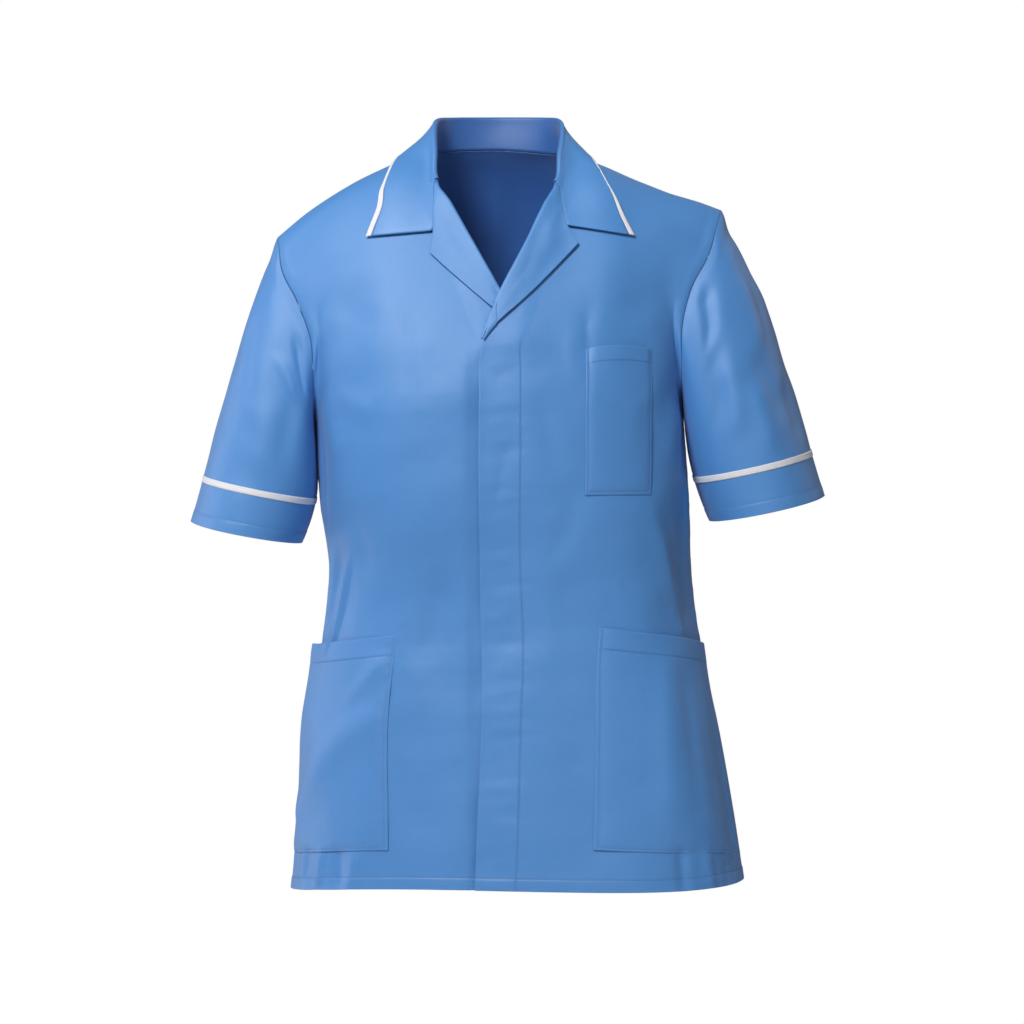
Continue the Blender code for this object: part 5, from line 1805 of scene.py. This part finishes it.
    def build(self, blue: Material, white: Material, trees: list[BVHTree]) -> list[Array]:
        """Builds the collar and its piping.

        Args:
            blue: The cloth's material.
            white: The piping's material.
            trees: Search trees of the back, the right front and the left front.

        Returns:
            The row of stitches at its neck seam.
        """
        inside, fall = self.middle(trees)
        far, edge = lengths(fall)[:, None], self.piping + 0.2
        outer = at_distances(fall, edge + (far - edge) * (1 - np.linspace(0, 1, self.cloth_rows)))
        band = at_distances(fall, np.tile(np.linspace(self.piping, 0, 6), (len(fall), 1)))
        around = marks(self.girth, 2.0, (0, self.girth)) / self.girth
        cloth = self.cloth(around, inside, outer)
        across = np.linspace(0, 1, self.tape_rows)
        tape = Cloth("collar_piping_tape", refine(band, around, across), 1, wall=1.2)
        tape.raise_by(np.tile(0.6 + 0.35 * np.sin(math.pi * across), (len(around), 1)))
        piping = tape.build(white, "collar_piping")
        cloth.build(blue, "collar", ("back_cloth", "front_left_cloth", "front_right_cloth"), (piping,))
        turned = cloth.inset(Rim.FIRST_ROW, 2.2, 0.06, 0.94)
        turned[:, :3] -= turned[:, 3:] * self.wall
        turned[:, 3:] *= -1
        return [turned]


@dataclass(frozen=True)
class SleeveShape:
    """One sleeve's hem oval, the pulls of its lines and its folds.

    Attributes:
        side: The wearer's side.
        outer: Outer point of the hem.
        inner: Inner point of the hem.
        depth: Half of the hem's depth from front to back.
        front_drop: How much lower the hem hangs at the front.
        drops: Turn, and the pulls out, ahead and down at the armhole, in and up at the hem.
        folds: Folds by the turn (in 200 mm) and the way down (in 300 mm).
    """

    side: Side
    outer: Point
    inner: Point
    depth: float
    front_drop: float
    drops: Rows
    folds: Rows


RIGHT_SLEEVE = SleeveShape(
    Side.RIGHT,
    (-317.5, 2, -377.5),
    (-201.5, 0, -400),
    70,
    1.5,
    (
        (0, 0.5, 0, 32, 27, 56), (0.15, 2.5, 3, 31, 30, 56), (0.3, 10, 9, 36, 32, 69),
        (0.45, 18, 13, 28, 35, 92), (0.6, 26, 18, 26, 30, 96), (0.8, 30, 15, 34, 30, 105),
        (1, 31, 0, 44, 35, 115),
    ),
    (
        (208, 6, 236, 120, 15, 1.8, 4), (236, 120, 208, 264, 15, 1.6, -4),
        (176, 60, 144, 132, 13, 1.4, 5), (160, 70, 132, 150, 10, -1.6, 5),
        (104, 20, 66, 60, 10, -2.2, 3), (116, 70, 80, 88, 12, 1.5, -2), (80, 90, 76, 190, 14, -1.8, 3),
        (100, 110, 104, 230, 14, 1.3, 4), (124, 160, 120, 270, 13, -1.1, -3),
        (150, 190, 160, 285, 14, 1, 3), (272, 50, 256, 180, 18, 1.8, 5),
        (300, 90, 290, 230, 16, -2, -5), (250, 170, 264, 280, 14, -1.3, 4),
        (330, 60, 318, 170, 14, 1.4, 4),
    ),
)
LEFT_SLEEVE = SleeveShape(
    Side.LEFT,
    (334.5, 2, -351),
    (214, 0, -377.5),
    70,
    2.5,
    (
        (0, 2, 0, 29, 24, 51), (0.15, 3, 3, 30, 28, 56), (0.3, 10, 9, 34, 30, 68),
        (0.45, 18, 13, 27, 34, 90), (0.6, 27, 18, 24, 32, 94), (0.8, 38, 15, 25, 32, 102),
        (1, 38, 0, 27, 36, 108),
    ),
    (
        (200, 80, 216, 165, 14, 1.8, 4), (216, 165, 206, 280, 14, 1.5, -4),
        (128, 150, 120, 240, 13, 1.6, 3), (168, 175, 172, 245, 12, -1.6, -2),
        (144, 120, 146, 210, 11, -1.2, 2), (130, 10, 102, 66, 10, -2.2, 3),
        (104, 60, 80, 160, 13, -1.7, 4), (110, 90, 96, 190, 12, 1.4, 4),
        (168, 50, 150, 130, 13, 1.3, 4), (186, 30, 180, 120, 12, -1.2, -3),
        (272, 50, 258, 180, 18, 1.8, 5), (300, 90, 292, 230, 16, -2, -5),
        (250, 170, 264, 280, 14, -1.3, 4), (330, 60, 318, 170, 14, 1.4, 4),
    ),
)


@dataclass
class Sleeve:
    """A short sleeve set into the armhole, with its hem and its white tape."""

    shape: SleeveShape
    clearance: float = 1.5
    hem: float = 12.5
    tape_rise: float = 45.5
    tape_width: float = 6.2
    tape_stitch: float = 0.9
    gap: float = 0.35
    girth: float = 400.0
    length: float = 300.0
    fold_strength: float = 1.5
    count: tuple[int, int] = (60, 40)
    fine_count: tuple[int, int] = (170, 80)

    def start(self, rise: Array, face: Array) -> Array:
        """At the armhole, the way into the sleeve square to the seam.

        Args:
            rise: Places.
            face: Front or back.

        Returns:
            Directions.
        """
        side, ways = self.shape.side, 0.0
        shared = ramp(*BODY.arm_turn, rise)[..., None] / 2
        for one in (Face.FRONT, Face.BACK):
            ahead = BODY.armhole_line(np.minimum(rise + 1e-3, 1), one, side)
            tangent = unit(ahead - BODY.armhole_line(np.maximum(rise - 1e-3, 0), one, side))
            out, forward, fall, _, _ = np.moveaxis(spline(self.shape.drops, rise), -1, 0)
            handle = np.stack([side * out, -one * forward, -fall], axis=-1)
            way = unit(handle - tangent * (handle * tangent).sum(axis=-1, keepdims=True))
            ways = ways + way * np.where((face == one)[..., None], 1 - shared, shared)
        return unit(ways)

    def form(self, turn: Array, down: Array) -> Array:
        """Points from the underarm (turn 0) over the front and the top (1), and down.

        Args:
            turn, down: Places.

        Returns:
            Points.
        """
        shape, side = self.shape, self.shape.side
        rise = np.where(turn > 1, 2 - turn, turn)
        face = np.where(turn > 1, -1, 1)
        back = BODY.armhole_line(rise, Face.BACK, side)
        start = np.where((turn > 1)[..., None], back, BODY.armhole_line(rise, Face.FRONT, side))
        out, ahead, fall, hem_in, hem_up = np.moveaxis(spline(shape.drops, rise), -1, 0)
        start_handle = np.stack([side * out, -face * ahead, -fall], axis=-1)
        hem_handle = np.stack([-side * hem_in, 0 * hem_in, hem_up], axis=-1)
        outer, inner = np.array(shape.outer), np.array(shape.inner)
        angle = (np.pi * turn)[..., None]
        end = (outer + inner) / 2 + (inner - outer) / 2 * np.cos(angle)
        end = end + np.array([0.0, -shape.depth, -shape.front_drop]) * np.sin(angle)
        start = start + self.start(rise, face) * self.gap
        return bezier(start, start + start_handle, end + hem_handle, end, down)

    def close(self, trees: list[BVHTree]) -> Array:
        """Close lines of the outer face, clear of the body.

        Args:
            trees: Trees of the back and the fronts.

        Returns:
            Points, by line.
        """
        lines, rows = self.count
        turn, down = np.linspace(0, 2, lines + 1)[:-1, None], np.linspace(0, 1, rows + 1)
        reach = ramp(0.0, 0.02, down) * self.clearance * ramp(0.0, 0.25, down)
        top = 1 - ramp(0.12, 0.4, np.abs(turn[1:-1] - 1))
        calm = (top * ramp(0.01, 0.12, down))[..., None] / 2
        grid = calmed(self.form(*np.broadcast_arrays(turn, down)), 20, calm)
        near = np.minimum(turn, 2 - turn)[:, 0] < 0.62
        grid[near] = keep_off(grid[near], reach, trees)
        return grid

    def shares(self, places: Array, length: float) -> Array:
        """Finds how far down each row lies, with the hem's rows at their true distances.

        Args:
            places: Rows by their nominal distance from the armhole.
            length: Mean true length of the sleeve.

        Returns:
            Shares of the way down.
        """
        up, near = self.length - places, 30
        even = places * (length - near) / (self.length - near)
        return (np.where(up < near, length - up, even) / length)[None, :]

    def relief(self, turn: Array, far: Array, below: Array, reach: Array) -> Array:
        """Heights of the sleeve's folds, seam, puckers and turned hem.

        Args:
            turn: Distances round the sleeve from the underarm.
            far: Distances from the armhole.
            below: Distances from the hem's edge.
            reach: Strength by the distance from the underarm, from 0 to 1.

        Returns:
            The heights.
        """
        height = folds_at(self.shape.folds, turn, far) * reach * self.fold_strength
        height *= ramp(2, 26, far) * (1 - 0.5 * ramp(200, 290, far))
        uneven = ripple(turn, far, 48, 0.8 + self.shape.side)
        height += (0.2 * uneven * ramp(0, 12, far) - 0.25 * bump(far, 5.0, 2.6)) * reach
        height += 0.16 * ripple(turn, far * 0.1, 13, 1.0) * bump(far, 7, 7) * ramp(0, 3, far)
        height += 0.4 * (1 - ramp(11.4, 13.4, below)) - 0.28 * bump(below, self.hem, 0.9)
        return height + 0.16 * ripple(turn, far * 0.1, 15, 2.0) * bump(below, 12, 8) * reach

    def cloth(self, trees: list[BVHTree]) -> Cloth:
        """Makes the sleeve's cloth.

        Args:
            trees: Search trees of the back and the fronts.

        Returns:
            The sleeve's cloth.
        """
        side = self.shape.side
        close = self.close(trees)
        around = np.concatenate([close[-2:], close, close[:3]])
        lines, rows = self.fine_count
        turns = np.linspace(0, 1, lines + 1)[:-1, None]
        at = (turns[:, 0] * len(close) + 2) / (len(around) - 1)
        grid = refine(around, at, np.linspace(0, 1, rows + 1))
        places = marks(self.length, 3.2, (0, self.length - self.hem, self.length))
        share = self.shares(places, lengths(grid).mean())
        below = lengths(grid)[:, None] * (1 - share)
        cloth = Cloth(f"sleeve_{side.word}_cloth", at_distances(grid, below), -int(side), closed=True)
        turn, far = np.broadcast_arrays(turns * self.girth, places[None, :])
        reach = ramp(0.25, 0.5, np.minimum(turns, 1 - turns) * 2)
        cloth.raise_by(self.relief(turn, far, below, reach))
        cloth.wall = 0.75 + 0.7 * (1 - ramp(11, 14, below))
        cloth.lines = np.clip(bump(far, 0, 0.9) + 0.55 * bump(below, self.hem, 0.8), 0, 1)
        cloth.rims = bump(below, 0, 1.6)
        return cloth

    def build(self, blue: Material, white: Material, trees: list[BVHTree]) -> tuple[list, list]:
        """Builds the sleeve and its tape.

        Args:
            blue: The cloth's material.
            white: The tape's material.
            trees: Search trees of the back and the fronts.

        Returns:
            The rows of stitches in blue, and those in white.
        """
        name = self.shape.side.word
        cloth = self.cloth(trees)
        near = self.tape_rise - self.tape_width / 2
        band = np.linspace(near + self.tape_width, near, 7)
        grid = at_distances(cloth.grid, np.tile(band, (len(cloth.grid), 1)))
        tape = Cloth(f"sleeve_tape_{name}_cloth", grid, cloth.facing, wall=0.75, closed=True)
        crown = np.array([0.0, 0.5, 0.85, 1.0, 0.85, 0.5, 0.0])
        tape.raise_by(np.tile(0.62 + 0.18 * crown, (len(grid), 1)))
        band = tape.build(white, f"sleeve_tape_{name}")
        cloth.build(blue, f"sleeve_{name}", (f"front_{name}_cloth", "back_cloth"), (band,))
        hem = cloth.inset(Rim.LAST_ROW, self.hem)
        sides = [tape.inset(rim, self.tape_stitch) for rim in (Rim.FIRST_ROW, Rim.LAST_ROW)]
        rings = [np.concatenate([row, row[:1]]) for row in (hem, *sides)]
        return rings[:1], rings[1:]


@dataclass(frozen=True)
class PocketSize:
    """A pocket's width, height, mouth hem and the step between its lines, and its mouth's relief."""

    wide: float
    tall: float
    mouth: float
    step: float
    ridge: float
    groove: float


@dataclass
class Pockets:
    """The chest pocket and the two hip pockets, sewn on at three edges."""

    chest_size: PocketSize = PocketSize(66.0, 144.0, 17.5, 1.9, 0.30, 0.26)
    hip_size: PocketSize = PocketSize(125.0, 214.0, 20.0, 2.0, 0.35, 0.30)
    stitch: float = 2.2
    chest: Rows = ((85.0, -348.0), (150.5, -348.0), (86.0, -204.5), (151.5, -204.0))
    hips: Rows = (
        (-101.0, -488.5, -110.0, -702.5, -508.0, -718.0, 8.0),
        (99.5, -480.0, 93.0, -698.0, -503.0, -710.0, 2.5),
    )
    wall: float = 0.7
    rim_lift: float = 0.95
    lift: float = 1.75
    hip_folds: tuple[Rows, Rows] = (
        (
            (102, 40, 98, 204, 15, 4.6, 3), (106, 10, 0, 150, 17, 4.2, 5),
            (14, 150, 9, 200, 8, 1.2, 2), (70, 4, 82, 50, 7, 1.1, 2), (96, 4, 104, 40, 6, -1.2, 2),
            (44, 6, 52, 46, 8, -0.9, 2),
        ),
        (
            (52, 190, 60, 20, 20, 3.2, -6), (100, 180, 108, 40, 13, 2.4, -4),
            (20, 60, 70, 10, 12, 1.2, 3),
        ),
    )

    def spread(self, size: PocketSize, free: tuple[float, ...]) -> tuple[Array, Array]:
        """Lays out a pocket's lines and rows, close beside its edges and stitches.

        Args:
            size: The pocket's size.
            free: More places across that need close lines.

        Returns:
            Distances across from its first edge, and up from its foot.
        """
        far = marks(size.wide, size.step, (0, self.stitch, *free, size.wide))
        level = marks(size.tall, 2.1, (0, self.stitch, size.tall - size.mouth, size.tall))
        return np.broadcast_arrays(far[:, None], level[None, :])

    def relief(self, size: PocketSize, v: Array, near: Array, settle: Array) -> Array:
        """Heights of a pocket over the front, with its mouth hem and its edge stitches.

        Args:
            size: The pocket's size.
            v: Distances up from its foot.
            near: Distances from its sewn edges.
            settle: How free the cloth is of those edges, from 0 to 1.

        Returns:
            The heights.
        """
        mouth = size.ridge * self.mouthed(size, v) - size.groove * bump(v, size.tall - size.mouth, 0.9)
        edge = 0.2 * bump(near, self.stitch, 0.8)
        return self.rim_lift + (self.lift - self.rim_lift + mouth) * settle - edge

    def mouthed(self, size: PocketSize, v: Array) -> Array:
        """Whether the cloth is doubled by the mouth hem, from 0 to 1."""
        low = size.tall - size.mouth
        return ramp(low - 0.8, low + 1.2, v)

    def sewn(self, name: str, size: PocketSize, side: Side, grid: Array, v: Array, near: Array) -> Cloth:
        """Makes a pocket's cloth, with its wall, its stitch lines and its rims.

        Args:
            name: The pocket's name.
            size: Its size.
            side: The wearer's side.
            grid: Points of its outer face.
            v: Distances up from its foot.
            near: Distances from its sewn edges.

        Returns:
            The pocket's cloth.
        """
        cloth = Cloth(f"{name}_cloth", grid, int(side), wall=self.wall + 0.6 * self.mouthed(size, v))
        mouth = bump(v, size.tall - size.mouth, 0.8)
        cloth.lines = np.clip(0.28 * bump(near, self.stitch, 0.8) + 0.55 * mouth, 0, 1)
        cloth.rims = np.clip(bump(near, 0, 1.4) + bump(v, size.tall, 1.4), 0, 1)
        return cloth

    def hip(self, side: Side) -> Cloth:
        """Makes a hip pocket, from its inner edge to the side seam and from its foot to its mouth.

        Args:
            side: The wearer's side.

        Returns:
            The pocket's cloth.
        """
        size = self.hip_size
        top_x, top, bottom_x, bottom, seam_top, seam_bottom, gape = self.hips[side.place]
        low_share, low_rise = BODY.locate(np.array(bottom_x), np.array(bottom))
        top_share, top_rise = BODY.locate(np.array(top_x), np.array(top))
        seam = side * (1 - BODY.seam_gap / BODY.quarter_girth)
        hem = BODY.hem_level(np.array(seam), Face.FRONT)
        span = BODY.chest_level(np.array(seam)) - hem
        low, high = (seam_bottom - hem) / span - 1, (seam_top - hem) / span - 1
        u, v = self.spread(size, ())
        across, up = u / size.wide, v / size.tall
        inner_share = low_share + (top_share - low_share) * up
        inner_rise = low_rise + (top_rise - low_rise) * up
        share = inner_share + (seam - inner_share) * across
        rise = inner_rise + (low + (high - low) * up - inner_rise) * across
        from_seam, near = size.wide - u, np.minimum(u, v)
        settle = ramp(0, 9, np.minimum(np.minimum(u, from_seam * 1.4), v))
        folds = np.maximum(folds_at(self.hip_folds[side.place], u, v), -0.6)
        folds *= ramp(0, 42, from_seam) * (1 - 0.5 * self.mouthed(size, v))
        pucker = 0.18 * ripple(u, v * 0.1, 15, 0.7) * bump(v, size.tall - size.mouth, 7)
        lift = self.relief(size, v, near, settle)
        lift += (folds + 0.2 * ripple(u, v, 44, side + 0.3) + pucker) * settle
        lift += 0.14 * ripple(u, v, 12, 0.2) * bump(near, 4, 4)
        lift += gape * ramp(0.7, 1.0, up) * np.sin(np.pi / 2 * across) ** 2
        grid = BODY.front(share, rise, side, lift)
        return self.sewn(f"hip_pocket_{side.word}", size, side, grid, v, near)

    def breast(self) -> Cloth:
        """Makes the tall chest pocket.

        Returns:
            The pocket's cloth.
        """
        size = self.chest_size
        corners = np.array(self.chest).reshape(2, 2, 2)
        places = BODY.locate(corners[..., 0], corners[..., 1])
        u, v = self.spread(size, (size.wide - self.stitch,))
        across, up = u / size.wide, v / size.tall
        share, rise = [
            (1 - up) * ((1 - across) * value[0, 0] + across * value[0, 1])
            + up * ((1 - across) * value[1, 0] + across * value[1, 1])
            for value in places
        ]
        near = np.minimum(np.minimum(u, size.wide - u), v)
        settle = ramp(0, 8, near)
        lift = self.relief(size, v, near, settle) + 0.2 * ripple(u, v, 38, 2.3) * settle
        lift += 0.8 * ramp(0.7, 1.0, up) * np.sin(np.pi * across)
        grid = BODY.front(share, rise, Side.LEFT, lift)
        return self.sewn("chest_pocket", size, Side.LEFT, grid, v, near)

    def build(self, blue: Material) -> list[Array]:
        """Builds the pockets.

        Args:
            blue: The cloth's material.

        Returns:
            Their rows of stitches.
        """
        rows = []
        for side in SIDES:
            cloth = self.hip(side)
            cloth.build(blue, f"hip_pocket_{side.word}", (f"front_{side.word}_cloth",))
            rows.append(cloth.inset(Rim.FIRST_LINE, self.stitch))
            rows.append(cloth.inset(Rim.FIRST_ROW, self.stitch, 0.02, 1.0))
            rows.append(cloth.inset(Rim.LAST_ROW, self.hip_size.mouth, 0.02, 1.0))
            rows.append(cloth.between((0.02, 0.91), (0.07, 0.985), 8))
        cloth = self.breast()
        cloth.build(blue, "chest_pocket", ("front_left_cloth",))
        rows += [cloth.inset(rim, self.stitch) for rim in (Rim.FIRST_LINE, Rim.LAST_LINE)]
        rows.append(cloth.inset(Rim.FIRST_ROW, self.stitch, 0.04, 0.96))
        rows.append(cloth.inset(Rim.LAST_ROW, self.chest_size.mouth, 0.04, 0.96))
        rows.append(cloth.between((0.03, 0.89), (0.13, 0.985), 8))
        return rows


@dataclass(frozen=True)
class Lamp:
    """A soft square lamp: its place, its aim, its size, its power and its colour."""

    name: str
    place: Point
    aim: Point
    size: float
    power: float
    colour: Point = (1.0, 1.0, 1.0)

    def build(self) -> None:
        """Adds the lamp to the scene."""
        light = bpy.data.lights.new(self.name, "AREA")
        light.size, light.energy, light.color = self.size, self.power, self.colour
        lamp = add_object(self.name, light)
        lamp.location = self.place
        way = Vector(self.aim) - Vector(self.place)
        lamp.rotation_euler = way.to_track_quat("-Z", "Y").to_euler()


@dataclass
class Studio:
    """The pale floor, the soft lamps, the white surroundings and the camera."""

    centre: Point = (0.01275, 0.0, -0.369)
    distance: float = 4.0
    elevation: float = 2.0
    lens: float = 137.9
    floor_level: float = -1.2
    floor_radius: float = 1.7
    ambient: float = 0.15
    lamps: tuple[Lamp, ...] = (
        Lamp("key", (-1.05, -2.1, 1.75), (0.0, 0.0, -0.2), 0.8, 89.0, (1.0, 0.99, 0.97)),
        Lamp("fill", (1.3, -3.2, 0.1), (0.0, 0.0, -0.4), 1.6, 10.0),
        Lamp("rim_right", (1.9, 0.9, 0.7), (0.2, 0.0, -0.2), 0.8, 4.0, (0.9, 0.88, 1.0)),
        Lamp("rim_left", (-2.0, 0.35, 0.1), (-0.25, 0.0, -0.4), 0.7, 8.0, (0.93, 0.91, 1.0)),
        Lamp("low_left", (-1.9, 0.7, -0.8), (-0.2, 0.0, -0.6), 0.7, 4.0, (0.93, 0.92, 1.0)),
    )

    def world(self) -> None:
        """Soft grey light from all round, white where the camera sees it."""
        world = bpy.data.worlds.new("studio")
        bpy.context.scene.world = world
        world.use_nodes = True
        tree = world.node_tree
        tree.nodes.clear()
        seen = node(tree, "ShaderNodeLightPath", {}).output("Is Camera Ray")
        soft = node(tree, "ShaderNodeBackground", {}, (0.93, 0.95, 1.0, 1), self.ambient)
        white = node(tree, "ShaderNodeBackground", {}, (1.0, 1.0, 1.0, 1), 1.0)
        both = node(tree, "ShaderNodeMixShader", {}, seen, soft, white)
        end = tree.nodes.new("ShaderNodeOutputWorld")
        tree.links.new(both.socket, end.inputs[0])

    def floor(self) -> None:
        """A round floor below the tunic."""
        turns = np.linspace(0, 2 * np.pi, 97)[:-1]
        ring = np.stack([np.cos(turns), np.sin(turns), 0 * turns], axis=-1) * self.floor_radius
        ring[:, 2] = self.floor_level
        mesh = bpy.data.meshes.new("floor")
        mesh.from_pydata(ring.tolist(), [], [list(range(len(ring)))])
        mesh.materials.append(FloorFinish().make())
        add_object("floor", mesh)

    def camera(self) -> None:
        """The camera at the photograph's place."""
        angle = math.radians(self.elevation)
        lens = bpy.data.cameras.new("camera")
        lens.lens, lens.sensor_width = self.lens, 36.0
        camera = add_object("camera", lens)
        centre = Vector(self.centre)
        camera.location = centre + Vector((0, -math.cos(angle), math.sin(angle))) * self.distance
        camera.rotation_euler = (centre - camera.location).to_track_quat("-Z", "Y").to_euler()
        bpy.context.scene.camera = camera

    def build(self) -> None:
        """Sets up the studio."""
        self.world()
        self.floor()
        self.camera()
        for lamp in self.lamps:
            lamp.build()
        bpy.context.scene.view_settings.view_transform = "Standard"


def main() -> None:
    """Builds the tunic's pieces and the studio."""
    logging.basicConfig(level=logging.INFO, format="%(message)s")
    blue, white, thread = POLYCOTTON.make(), TAPE.make(), THREAD.make()
    maker = StitchMaker()
    tree = maker.tree()
    torso = Torso()
    maker.sew("body_stitches", torso.build(blue), tree, thread)
    trees = [torso.tree(name) for name in torso.pieces]
    Lapels().build(blue, torso)
    maker.sew("collar_stitches", Collar().build(blue, white, trees), tree, thread)
    for shape in (RIGHT_SLEEVE, LEFT_SLEEVE):
        hem, tape = Sleeve(shape).build(blue, white, trees)
        maker.sew(f"sleeve_{shape.side.word}_stitches", hem, tree, thread)
        maker.sew(f"tape_{shape.side.word}_stitches", tape, tree, white)
    maker.sew("pocket_stitches", Pockets().build(blue), tree, thread)
    Studio().build()


if __name__ == "__main__":
    main()
